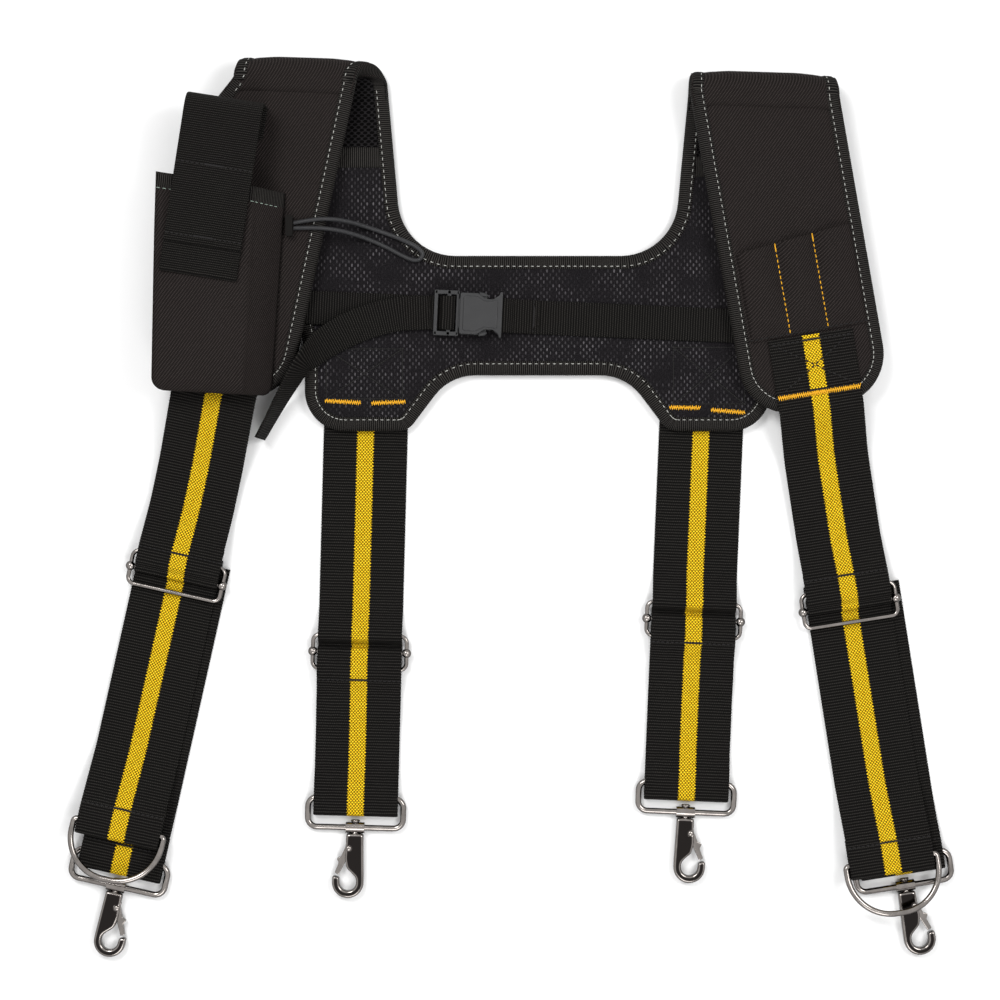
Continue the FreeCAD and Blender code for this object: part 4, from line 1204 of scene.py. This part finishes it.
def front_straps(side):
    strap = FRONT[side]
    place = strap_place(strap)
    shifted = place @ frame_at(strap["shift"], 0)
    mid = strap["slider"]
    key = f"front_{side}"
    high = pad_face(side, place, ANCHOR)
    low = pad_face(side, place, strap["edge"])
    upper = strap_piece(f"front_upper_{side}", place, front_upper(strap, low, high),
                        f"front_strap_{side}", "front")
    run = strap_piece(f"front_lower_{side}", shifted, front_run(strap), f"front_run_{side}",
                      pair=("front", f"{key}_run", at(place, mid + 10), at(place, mid - 40)))
    tail = strap_piece(f"front_end_{side}", place, front_tail(strap), f"front_tail_{side}",
                       pair=("front", f"{key}_tail", at(place, mid), at(place, mid - 50)))
    cross_row("front", upper, mid + (13 if side == "left" else 18))
    cross_row(f"{key}_tail", tail, strap["belt_ring"] + 11)
    cross_row(f"{key}_run", run, strap["ring"] + 7.5)
    if side == "right":
        for y in (31.0, 1.5):
            cross_row("front", upper, y, half=22.0)
        for slant in (1, -1):
            level = (upper.top(31) + upper.top(1.5)) / 2 + 0.1
            drop = (upper.top(31) - upper.top(1.5)) / 29.5
            for k in range(16):
                share = k / 15 - 0.5
                y = 16.2 + share * 29.0
                spot = at(place, y, level + (y - 16.2) * drop, slant * share * 44)
                way = turned(place, (slant * 44, 29.0, drop * 29))
                stitch("front", black_thread, spot, way, 2.6)
        bartack("front", place, 0.0, upper.top(0) + 0.1, -24.0, 24.0, 3.6)


def bartack(body, place, y, z, x0, x1, tall):
    """Close slanted stitches in a bar."""
    count = int((x1 - x0) / 0.62)
    for k in range(count + 1):
        x = x0 + (x1 - x0) * k / count
        way = turned(place, ((0.35 if k % 2 else -0.35) + 0.15, 1.0, 0))
        stitch(body, amber_thread, at(place, y, z, x), way, tall * (0.86 + 0.28 * ((k * 7) % 5) / 4))


for side in ("left", "right"):
    rear_straps(side)
    front_straps(side)

# chest strap, its buckle's webbing and the loose end
CHEST_LEVEL_LADDER = 2 * LAP - WEB / 2 + 0.15 + 2.8 + 0.1 + WEB / 2
BUCKLE_OVER = WEB / 2 + 0.1 + 3.0 + 0.15 + WEB / 2
right = Side(CHEST, [(162, 0, 0), (7.3, 0, 0.9), (7.3, BUCKLE_OVER, 0.9),
                     (14.5, BUCKLE_OVER, 2), (19, LAP, 2), (34, LAP, 0)], NARROW_RIB)
piece = right.make("chest_webbing_right", NARROW)
stands_for(piece, "front", "narrow_webbing", "chest_strap_right")
cross_row("front", right, 31.0, half=8.5, pitch=2.4, length=1.9)
left = Side(CHEST, [(-122, 0, 0), (-16.2, 0, 0.85), (-16.2, CHEST_LEVEL_LADDER, 0.85),
                    (-22.9, CHEST_LEVEL_LADDER, 0.85), (-22.9, LAP, 0.85), (-30, LAP, 0)], NARROW_RIB)
piece = left.make("chest_webbing_left", NARROW)
stands_for(piece, None, "narrow_webbing", "chest_strap_left",
           pair=("front", "plug", at(CHEST, -110), at(CHEST, -32)))


def make_tail():
    """Loose end of the chest strap: it turns on edge as it hangs off the yoke."""
    spots = np.array([s[:3] for s in TAIL_SPOTS])
    rolls = np.array([s[3] for s in TAIL_SPOTS], float)
    heads = np.array([s[4] for s in TAIL_SPOTS], float)
    knots = np.concatenate([[0], np.cumsum(np.linalg.norm(np.diff(spots, axis=0), axis=1))])
    fine = np.linspace(0, knots[-1], 160)

    def smooth(values):
        slopes = np.gradient(values, knots, axis=0)
        out = []
        for s in fine:
            k = min(int(np.searchsorted(knots, s, "right")) - 1, len(knots) - 2)
            h = knots[k + 1] - knots[k]
            t = (s - knots[k]) / h
            a, b = values[k], values[k + 1]
            out.append((2 * t ** 3 - 3 * t ** 2 + 1) * a + (t ** 3 - 2 * t ** 2 + t) * h
                       * slopes[k] + (3 * t ** 2 - 2 * t ** 3) * b + (t ** 3 - t ** 2) * h
                       * slopes[k + 1])
        return np.array(out)

    line = smooth(spots)
    points, ways, along = evenly(line, 0.75)
    shares = along / along[-1] * fine[-1]
    roll = np.radians(np.interp(shares, fine, smooth(rolls)))
    head = np.radians(np.interp(shares, fine, smooth(heads)) + 90)
    across = np.stack([np.cos(head) * np.cos(roll), np.sin(head) * np.cos(roll),
                       -np.sin(roll)], axis=1)
    across -= ways * (across * ways).sum(axis=1)[:, None]
    across /= np.linalg.norm(across, axis=1)[:, None]
    piece = ribbon("chest_loose_end", points, ways, along, across, **NARROW)
    stands_for(piece, None, "narrow_webbing", "chest_strap_tail",
               pair=("front", "plug", (-130.0, -15.0, 11.0), (-66.0, 1.0, 11.0)))


make_tail()

# ---------------------------------------------------------------- pouch

POUCH = on_pad("left", -183.2, 71.4, WEB + 3 * WEB_PLAY, -3.0)
POUCH_DEPTH = 20.0
POUCH_LOW = -118.0


def pouch_section(y, skin):
    """Section of the pouch, square to its length: back, slanted right side, front, left."""
    share = (4.0 - y) / (4.0 - POUCH_LOW)
    left = -37.2 + 3.6 * share
    right = 35.6 - 2.2 * share
    ridge = 18.5 - 0.5 * share
    foot = y - POUCH_LOW
    round_off = 7.0 - math.sqrt(max(0.0, 49.0 - max(0.0, 7.0 - foot) ** 2))
    left += round_off
    right -= round_off * 0.8
    deep = POUCH_DEPTH * (1 - 0.10 * rise_at(y, -30.0, 4.0))
    deep *= 0.80 + 0.20 * min(1.0, math.sqrt(max(0.0, foot) / 7.0))
    corners = [(left, 0.2), (right, 0.2), (ridge, deep), (left - 0.4, deep - 0.6)]
    counts = (16, 14, 18, 12)
    path = []
    for index, count in enumerate(counts):
        a, b = corners[index], corners[(index + 1) % 4]
        for k in range(count):
            t = k / count
            x = a[0] + (b[0] - a[0]) * t
            z = a[1] + (b[1] - a[1]) * t
            swell = math.sin(math.pi * t) * math.sin(math.pi * min(1.0, foot / 122.0)) ** 0.6
            if index == 2:
                z += 0.9 * swell + 0.25 * math.sin(y * 0.13 + x * 0.21)
            if index == 1:
                x += 0.9 * swell
                z += 0.6 * swell - 0.3 * math.sin(y * 0.11)
            if index == 3:
                x -= 0.5 * swell
            if t == 0 and index in (2, 3):
                z += 0.55
                x += 0.35 if index == 2 else -0.35
            path.append((x, z))
    path = np.array(path)
    if skin:
        middle = np.array([(left + right) / 2, deep / 2])
        way = middle - path
        size = np.abs(way)
        path = path + np.sign(way) * np.minimum(size * 0.4, 1.5)
    return path


def make_pouch():
    rows, maps = [], []
    levels = [POUCH_LOW + 0.02, POUCH_LOW + 0.6] + list(np.linspace(POUCH_LOW + 1.5, 4.0, 84))
    for skin, order in ((0, levels), (1, levels[:1:-1])):
        for y in order:
            section = pouch_section(y, skin)
            slant = -0.11 * section[:, 0] * rise_at(y, -60.0, 4.0) * 0.9
            rows.append(np.stack([section[:, 0], y + slant, section[:, 1]], axis=1))
            around = np.concatenate([[0], np.cumsum(np.linalg.norm(
                np.diff(section, axis=0), axis=1))])
            maps.append([((4.0 - y) / 10, a / 10) for a in around])
    piece = loft("pouch_bag", rows, [twill, tape], maps, place=POUCH)
    second_where(piece, POUCH, lambda x, y, z: y + 0.1 * x > -4.2)
    stands_for(piece, "front", "pad_cloth", "pouch_body")
    y = -5.0
    section = pouch_section(y, 0)
    ring = np.stack([section[:, 0], y - 0.1 * section[:, 0] * 0.95, section[:, 1]], axis=1)
    stitch_line("front", green_thread, put(POUCH, ring[20:50]), 3.6, 2.5, 0.45)


make_pouch()

# ---------------------------------------------------------------- flap

FLAP = on_pad("left", -180.5, 121.0, 0, -9.0)
FLAP_SEAT = WEB / 2 + WEB_PLAY
FLAP_TOP = WEB + 3 * WEB_PLAY + POUCH_DEPTH + 1.0 + WEB / 2 + 2 * WEB_PLAY
anchor_side = Side(FLAP, [(-16, FLAP_SEAT, 0), (2.6, FLAP_SEAT, 0)], FLAP_RIB)
piece = anchor_side.make("flap_base", FLAP_CLOTH)
stands_for(piece, "front", "webbing", "flap_anchor")
flap_side = Side(FLAP, [(2.0, FLAP_SEAT + 1.7, 0), (2.0, FLAP_TOP + 0.8, 8),
                        (-40.0, FLAP_TOP + 1.4, 60), (-84.0, FLAP_TOP + 0.6, 0)], FLAP_RIB)
piece = flap_side.make("flap_cover", FLAP_CLOTH)
stands_for(piece, "flap", "webbing", "pouch_flap")
tab_side = Side(FLAP, [(-62.0, FLAP_TOP - 0.9, 0), (-101.0, FLAP_TOP - 0.2, 0.8),
                       (-101.0, FLAP_TOP - 1.9, 0.8), (-78.0, FLAP_TOP - 2.6, 0)], FLAP_RIB)
piece = tab_side.make("flap_pull_tab", FLAP_CLOTH)
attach(piece, "flap")
for y in (-38.0, -79.5):
    cross_row("flap", flap_side, y, half=21.0, pitch=2.8, length=2.3)


def clear_of_flap(thread):
    """Whether a stitch lies outside the spot where the flap turns."""
    x, y, _ = put(FLAP.inverted(), [thread[0]])[0]
    return abs(x) > 25.0 or y < -18.0 or y > 9.0


edging = threads[("front", white_thread)]
threads[("front", white_thread)] = [thread for thread in edging if clear_of_flap(thread)]

# ---------------------------------------------------------------- pencil pocket

PENCIL = pad_place("right") @ frame_at(0, 0, PANEL + 0.1)
POCKET_TOP = -86.5
POCKET_LENGTH = 56.0
DIVIDERS = (-33.0, -10.05, 12.45, 35.4)


def make_pencil_pocket():
    """A sheet sewn down at its sides, foot and two dividers, a little full between them."""
    columns = []
    for k in range(3):
        columns += list(np.linspace(DIVIDERS[k], DIVIDERS[k + 1], 14)[:-1])
    columns.append(DIVIDERS[3])
    columns = np.array(columns)
    rows, maps = [], []
    steps = 40
    for step in range(steps + 1):
        share = step / steps
        row, pairs = [], []
        for skin in (1, -1):
            order = columns if skin > 0 else columns[::-1]
            for x in order:
                slot = sum(1 for d in DIVIDERS[1:-1] if x > d)
                inside = (x - DIVIDERS[slot]) / (DIVIDERS[slot + 1] - DIVIDERS[slot])
                full = math.sin(math.pi * np.clip(inside, 0, 1)) ** 0.7
                full *= (0.45 + 0.55 * (1 - share)) * rise_at(1 - share, 0.0, 0.18)
                y = POCKET_TOP - POCKET_LENGTH * share + 0.09 * x * (1 - share)
                z = 0.5 + 4.2 * full
                z = z if skin > 0 else max(0.02, z - 0.8)
                row.append((x, y, z))
                pairs.append((share * POCKET_LENGTH / 10, x / 10))
        rows.append(row)
        maps.append(pairs)
    piece = loft("pencil_sleeve", rows, twill, maps, place=PENCIL)
    stands_for(piece, "front", "pad_cloth", "pencil_pocket")
    for x in DIVIDERS[1:-1]:
        line = put(PENCIL, [(x, POCKET_TOP - 1 + 0.09 * x, 0.85), (x, -139.5, 0.85)])
        stitch_line("front", amber_thread, line, 3.1, 2.3)
        for k in range(4):
            stitch("front", amber_thread, at(PENCIL, POCKET_TOP + 0.09 * x - 1.2 - k * 0.9,
                                             0.9, x), turned(PENCIL, (0.3, 1, 0)), 1.8)
    foot = POCKET_TOP - POCKET_LENGTH + 1.5
    line = put(PENCIL, [(-33, foot, 0.75), (35, foot, 0.75)])
    stitch_line("front", black_thread, line, 3.0, 2.2)


make_pencil_pocket()

# ---------------------------------------------------------------- buckle

BUCKLE_LOW, BUCKLE_HIGH = -0.9, 8.1


def plate(name, outline, low, high, edge, segments=3):
    """A flat outline of the buckle made solid, its top and bottom edges rounded."""
    line = rounded([(x, y, 0, r) for x, y, r in outline], closed=True)[:-1]
    keep = np.linalg.norm(line - np.roll(line, 1, axis=0), axis=1) > 1e-4
    line = line[keep]
    ways = np.roll(line, -1, axis=0) - np.roll(line, 1, axis=0)
    ways /= np.linalg.norm(ways, axis=1)[:, None]
    area = float(np.sum(line[:, 0] * np.roll(line[:, 1], -1)
                        - np.roll(line[:, 0], -1) * line[:, 1]))
    into = np.stack([-ways[:, 1], ways[:, 0], np.zeros(len(ways))], axis=1)
    into *= 1 if area > 0 else -1
    rows = []
    for skin, start in ((1, low), (-1, high)):
        for k in range(segments + 1)[::skin]:
            angle = k / segments * math.pi / 2
            inset, rounding = edge * (1 - math.sin(angle)), edge * (1 - math.cos(angle))
            rows.append(line + into * inset + np.array([0, 0, start + skin * rounding]))
    piece = loft(name, rows, plastic, place=CHEST)
    for face in piece.data.polygons:
        face.use_smooth = len(face.vertices) < 5
    return piece


def block(name, x, half, low_y, high_y, low, high):
    """A moulded bar of the buckle."""
    outline = [(x - half, low_y, 0.5), (x + half, low_y, 0.5), (x + half, high_y, 0.5),
               (x - half, high_y, 0.5)]
    return plate(name, outline, low, high, 0.4)


def make_buckle():
    """Side release buckle: socket with flared wings, ladder frame and its side prongs."""
    half = 12.1
    right = [(half, -12.5, 1.2), (half, -2.0, 1.4), (half - 3.1, 2.4, 2.6),
             (half - 3.2, 7.0, 2.8), (half - 0.6, 10.6, 1.8), (half + 1.2, 10.9, 0.7),
             (half + 1.2, 12.5, 0.5)]
    shell = right + [(half - 2.6, 12.5, 0.5)]
    shell += [(-x, y, r) for x, y, r in shell[::-1]]
    roof = plate("buckle_shell", shell, BUCKLE_HIGH - 2.4, BUCKLE_HIGH - 0.5, 0.46)
    base = plate("buckle_floor", shell, BUCKLE_LOW, 1.3, 0.46)
    root = block("buckle_root", 0.0, half - 3.6, 6.6, 12.2, 0.6, 6.6)
    walls = [block(f"buckle_wall_{side}", side * (half - 0.9), 0.75, -12.2, -3.4, 0.6, 6.6)
             for side in (-1, 1)]
    inner = half - 1.7
    thumb = [(inner, -10.6, 1.6), (inner, -2.6, 1.5), (inner - 2.6, 2.0, 2.2),
             (inner - 2.5, 6.6, 2.0), (inner - 1.2, 9.8, 1.2)]
    thumb += [(-x, y, r) for x, y, r in thumb[::-1]]
    pad = plate("buckle_thumb", thumb, BUCKLE_HIGH - 1.2, BUCKLE_HIGH, 0.7, 4)
    body = merged("buckle_body", [roof, base, root, *walls, pad])
    stands_for(body, "front", "buckle_plastic", "buckle_socket")
    for sign in (-1, 1):
        prong = [(sign * (half - 2.2), -1.6, 0.8), (sign * (half + 0.9), -1.2, 0.8),
                 (sign * (half + 0.3), 2.6, 1.2), (sign * (half - 1.9), 5.4, 0.8)]
        piece = plate(f"buckle_prong_{'left' if sign < 0 else 'right'}", prong, 1.6, 5.5, 0.7)
        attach(piece, "plug")
        if sign > 0:
            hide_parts("buckle_arms")
    base = 2 * LAP - WEB / 2 + 0.15
    frame_half = 13.4
    bars = []
    for low_y, high_y in ((-27.8, -25.5), (-20.3, -17.7), (-14.8, -12.9)):
        bars.append([(-frame_half, low_y, 0.8), (frame_half, low_y, 0.8),
                     (frame_half, high_y, 0.8), (-frame_half, high_y, 0.8)])
    for sign in (-1, 1):
        bars.append([(sign * frame_half, -27.6, 1.0), (sign * frame_half, -13.0, 1.0),
                     (sign * (frame_half - 2.6), -13.0, 0.6),
                     (sign * (frame_half - 2.6), -27.6, 0.6)])
    made = []
    for index, bar in enumerate(bars):
        made.append(plate(f"ladder_bar_{index}", bar, base, base + 2.8, 0.55))
    neck_piece = [(-8.5, -13.4, 0.5), (8.5, -13.4, 0.5), (8.5, -11.8, 0.5), (-8.5, -11.8, 0.5)]
    made.append(plate("ladder_neck", neck_piece, 1.6, 5.6, 0.5))
    made.append(block("ladder_tongue", 0.0, 1.5, -13.0, 4.0, 2.2, 4.8))
    for sign in (-1, 1):
        made.append(block(f"ladder_arm_{sign}", sign * (half - 3.8), 1.0, -13.0, -0.4, 2.0, 5.0))
        made.append(block(f"ladder_tip_{sign}", sign * (half - 2.9), 1.2, -1.4, 3.4, 2.0, 5.0))
    ladder = merged("ladder_frame", made)
    stands_for(ladder, "plug", "buckle_plastic", "buckle_plug")


def merged(name, objects):
    """The moulded pieces as one object."""
    work = bmesh.new()
    for item in objects:
        work.from_mesh(item.data)
    mesh = mesh_of(name, work)
    mesh.materials.append(plastic)
    for item in objects:
        bpy.data.objects.remove(item)
    return placed(name, mesh)


make_buckle()

# ---------------------------------------------------------------- cast hooks and other metal


def cast(name, node, body, voxel, passes, material):
    """The same solid with the soft edges of a casting."""
    piece = joined_copy(name, [node])
    remeshed(piece, voxel)
    relaxed(piece.data, passes)
    all_smooth(piece.data)
    piece.data.materials.clear()
    piece.data.materials.append(material)
    return stands_for(piece, body, "black_nickel", node)


SPOTS = ("rear_left", "rear_right", "front_left", "front_right")


def rivet(key):
    """Domed ends of the pin that the gate turns on."""
    corners = np.array([corner.co[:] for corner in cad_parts["gate_pin_" + key].data.vertices])
    low, high = corners.min(axis=0), corners.max(axis=0)
    middle = (low + high) / 2
    work = bmesh.new()
    for face, level in ((1, high[2]), (-1, low[2])):
        made = bmesh.ops.create_uvsphere(work, u_segments=20, v_segments=12, radius=1.0)
        size = Matrix.Diagonal((1.75 * MM, 1.75 * MM, 0.95 * MM, 1.0))
        shift = Matrix.Translation((middle[0], middle[1], level - face * 0.02 * MM))
        bmesh.ops.transform(work, matrix=shift @ size, verts=made["verts"])
    mesh = mesh_of("rivet_" + key, work)
    all_smooth(mesh)
    mesh.materials.append(nickel)
    piece = placed("rivet_" + key, mesh)
    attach(piece, key + "_hook")


for key in SPOTS:
    cast("cast_hook_" + key, "hook_" + key, key + "_hook", 0.42, 11, casting)
    cast("cast_gate_" + key, "gate_" + key, key + "_gate", 0.32, 2, nickel)
    rivet(key)

for name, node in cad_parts.items():
    metal = name.startswith(("slider_", "base_ring_", "belt_ring_", "gate_pin_"))
    hidden = name in ("closure_patch", "cord_tab")
    if metal or hidden:
        node.data.materials.clear()
        node.data.materials.append(nickel if metal else tape)

# ---------------------------------------------------------------- seams, bars and air mesh

seam_bands = {"left": ((-140.0, -88.0), 96.0), "right": ((88.0, 152.0), 90.5)}


def surface_level(piece):
    """Height of a panel's upper face at places seen from above."""
    graph = bpy.context.evaluated_depsgraph_get()
    tree = BVHTree.FromObject(piece, graph)

    def level(x, y):
        hit = tree.ray_cast(Vector((x * MM, y * MM, 0.08)), Vector((0, 0, -1)))
        return None if hit[0] is None else hit[0].z / MM

    return level


yoke_level = surface_level(yoke_panel)


def on_yoke(line, pitch, length, material):
    """Stitches along a line, on the yoke's upper face."""
    points, ways, _ = evenly(np.array(line, float), pitch)
    for spot, way in zip(points, ways):
        found = yoke_level(spot[0], spot[1])
        if found is not None:
            stitch("yoke", material, (spot[0], spot[1], found + 0.12), way, length)


def yoke_bar(x0, x1, y0, y1):
    """An amber bar of close stitches on the yoke."""
    count = int(abs(x1 - x0) / 0.6)
    for k in range(count + 1):
        share = k / count
        x, y = x0 + (x1 - x0) * share, y0 + (y1 - y0) * share
        found = yoke_level(x, y)
        if found is not None:
            way = Vector((0.45 if k % 2 else -0.2, 1.0, 0)).normalized()
            stitch("yoke", amber_thread, (x, y + 0.3 * ((k * 5) % 3 - 1), found + 0.25), way,
                   2.5 + 0.5 * ((k * 3) % 4) / 3)


yoke_bar(-125.5, -105.0, -50.5, -51.8)
yoke_bar(-98.0, -78.5, -52.0, -51.2)
yoke_bar(78.0, 95.5, -54.5, -54.8)
yoke_bar(102.5, 122.0, -56.0, -57.6)
yoke_bar(-9.0, 11.0, -9.6, -8.6)
for side in ("left", "right"):
    for line in box_lines(side):
        on_yoke(line, 1.5, 1.9, black_thread)
    (x0, x1), level = seam_bands[side]
    on_yoke([(x0, level + 2.2, 0), (x1, level + 2.2, 0)], 3.8, 2.4, white_thread)


def seam_band(side):
    """Ribbed band that covers the join of the two meshes."""
    (x0, x1), level = seam_bands[side]
    rows, maps = [], []
    xs = np.arange(x0, x1, 0.6)
    for index, x in enumerate(xs):
        swell = 0.06 if index % 2 else 0.0
        ys = np.linspace(level + 3.0, level - 9.0, 7)
        tops = []
        for y in ys:
            found = yoke_level(x, y)
            tops.append(PANEL if found is None else found)
        row = [(x, y, z + 0.45 - swell) for y, z in zip(ys, tops)]
        row += [(x, y, z - 0.4) for y, z in zip(ys[::-1], tops[::-1])]
        rows.append(row)
        maps.append([((y - ys[0]) / 10, x / 10) for y in (*ys, *ys[::-1])])
    piece = loft("seam_band_" + side, rows, tape, maps)
    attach(piece, "yoke")


for side in ("left", "right"):
    seam_band(side)


# ---------------------------------------------------------------- threads by nodes


def thread_tree():
    """Places one flattened spindle of thread at each point, along its way."""
    tree = bpy.data.node_groups.new("threads", "GeometryNodeTree")
    for name, kind in (("Geometry", "Geometry"), ("Radius", "Float"), ("Unevenness", "Float"),
                       ("Seed", "Int"), ("Thread", "Material")):
        tree.interface.new_socket(name, in_out="INPUT", socket_type="NodeSocket" + kind)
    tree.interface.new_socket("Geometry", in_out="OUTPUT", socket_type="NodeSocketGeometry")
    g = Nodes(tree)
    start = tree.nodes.new("NodeGroupInput").outputs
    ball = g.node("GeometryNodeMeshUVSphere", [("Segments", 6), ("Rings", 4), ("Radius", 1.0)],
                  "Mesh")
    way = g.node("GeometryNodeInputNamedAttribute", [("Name", "way")],
                 data_type="FLOAT_VECTOR")
    length = g.node("GeometryNodeInputNamedAttribute", [("Name", "long")], data_type="FLOAT")
    wobble = g.node("FunctionNodeRandomValue",
                    [(0, (-1, -1, -0.3)), (1, (1, 1, 0.3)), ("Seed", start["Seed"])],
                    data_type="FLOAT_VECTOR")
    scaled = g.node("ShaderNodeVectorMath", [(0, wobble), ("Scale", start["Unevenness"])],
                    operation="SCALE")
    bent = g.node("ShaderNodeVectorMath", [(0, way), (1, scaled)], operation="ADD")
    aim = g.node("FunctionNodeAlignRotationToVector", [("Vector", bent)], axis="Z")
    radius = start["Radius"]
    half = g.math("MULTIPLY", length, 0.5)
    size = g.node("ShaderNodeCombineXYZ", enumerate((radius, radius, half)))
    places = g.node("GeometryNodeInstanceOnPoints",
                    [("Points", start["Geometry"]), ("Instance", ball), ("Rotation", aim),
                     ("Scale", size)])
    solid = g.node("GeometryNodeRealizeInstances", [(0, places)])
    soft = g.node("GeometryNodeSetShadeSmooth", [("Geometry", solid)])
    paint = g.node("GeometryNodeSetMaterial", [("Geometry", soft), ("Material", start["Thread"])])
    g.put(tree.nodes.new("NodeGroupOutput"), 0, paint)
    return tree


def socket_id(tree, name):
    return next(item.identifier for item in tree.interface.items_tree
                if item.name == name and item.in_out == "INPUT")


def grow(name, tree, spots, radius, unevenness, seed, material):
    """Runs the thread tree over a list of (spot, way, length), all in mm."""
    mesh = bpy.data.meshes.new(name)
    mesh.from_pydata([tuple(c * MM for c in s[0]) for s in spots], [], [])
    ways = mesh.attributes.new("way", "FLOAT_VECTOR", "POINT")
    ways.data.foreach_set("vector", np.array([s[1] for s in spots], float).ravel())
    long = mesh.attributes.new("long", "FLOAT", "POINT")
    long.data.foreach_set("value", np.array([s[2] * MM for s in spots], float))
    piece = placed(name, mesh)
    made = piece.modifiers.new("threads", "NODES")
    made.node_group = tree
    made[socket_id(tree, "Radius")] = radius * MM
    made[socket_id(tree, "Unevenness")] = unevenness
    made[socket_id(tree, "Seed")] = seed
    made[socket_id(tree, "Thread")] = material
    settled(piece)
    for extra in ("way", "long"):
        found = piece.data.attributes.get(extra)
        if found:
            piece.data.attributes.remove(found)
    return piece


TREE = thread_tree()
THREAD_SIZES = {white_thread: (0.24, 0.07), green_thread: (0.24, 0.05),
                amber_thread: (0.36, 0.10), black_thread: (0.48, 0.05)}
for number, ((body, material), spots) in enumerate(threads.items()):
    radius, unevenness = THREAD_SIZES[material]
    word = material.name.replace(" ", "_")
    piece = grow(f"{word}_{body}", TREE, spots, radius, unevenness, number, material)
    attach(piece, body)
bend_piece = grow("white_thread_bends", TREE, bend_threads, *THREAD_SIZES[white_thread], 77,
                  white_thread)
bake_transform(bend_piece)

# ---------------------------------------------------------------- floor and light


WHITE_FROM, WHITE_AT = 0.42, 0.72    # metres from the middle where the table turns white


def make_floor():
    """A white table that fades into the background far from the belt."""
    mesh = bpy.data.meshes.new("floor")
    far, level = 3.0, -0.0002
    mesh.from_pydata([(-far, -far, level), (far, -far, level), (far, far, level),
                      (-far, far, level)], [], [(0, 1, 2, 3)])
    floor = placed("floor", mesh)
    f = Finish("white table")
    f.finish((0.94, 0.94, 0.94), 0.6)
    away = f.node("ShaderNodeVectorMath", [(0, f.place())], "Value", operation="LENGTH")
    share = f.times(f.step(away, WHITE_FROM, WHITE_AT), f.shown_white())
    blend = f.node("ShaderNodeMixShader", [(0, share), (1, f.shader.outputs[0]),
                                           (2, f.node("ShaderNodeEmission"))])
    f.put(f.nodes["Material Output"], "Surface", blend)
    mesh.materials.append(f.material)


def make_light():
    """An even white world and three square lamps."""
    world = bpy.data.worlds.new("studio")
    bpy.context.scene.world = world
    world.use_nodes = True
    w = Nodes(world.node_tree)
    level = w.node("ShaderNodeMapRange", [(0, w.shown_white()), (3, 0.50), (4, 1.0)])
    w.put(w.nodes["Background"], "Strength", level)
    w.put(w.nodes["Background"], "Color", (1.0, 1.0, 1.0, 1.0))
    for name, spot, size, power in (("key", (-0.55, 0.55, 1.3), 0.5, 11.0),
                                    ("fill", (0.75, 0.15, 1.2), 0.5, 7.5),
                                    ("front", (0.0, -1.0, 1.1), 0.6, 5.5)):
        data = bpy.data.lights.new(name, "AREA")
        data.shape = "SQUARE"
        data.size = size
        data.energy = power
        lamp = placed(name, data)
        lamp.location = spot
        aim = Vector((0, -0.08, 0)) - Vector(spot)
        lamp.rotation_euler = aim.to_track_quat("-Z", "Y").to_euler()


make_floor()
make_light()
bpy.context.scene.view_settings.view_transform = "Standard"
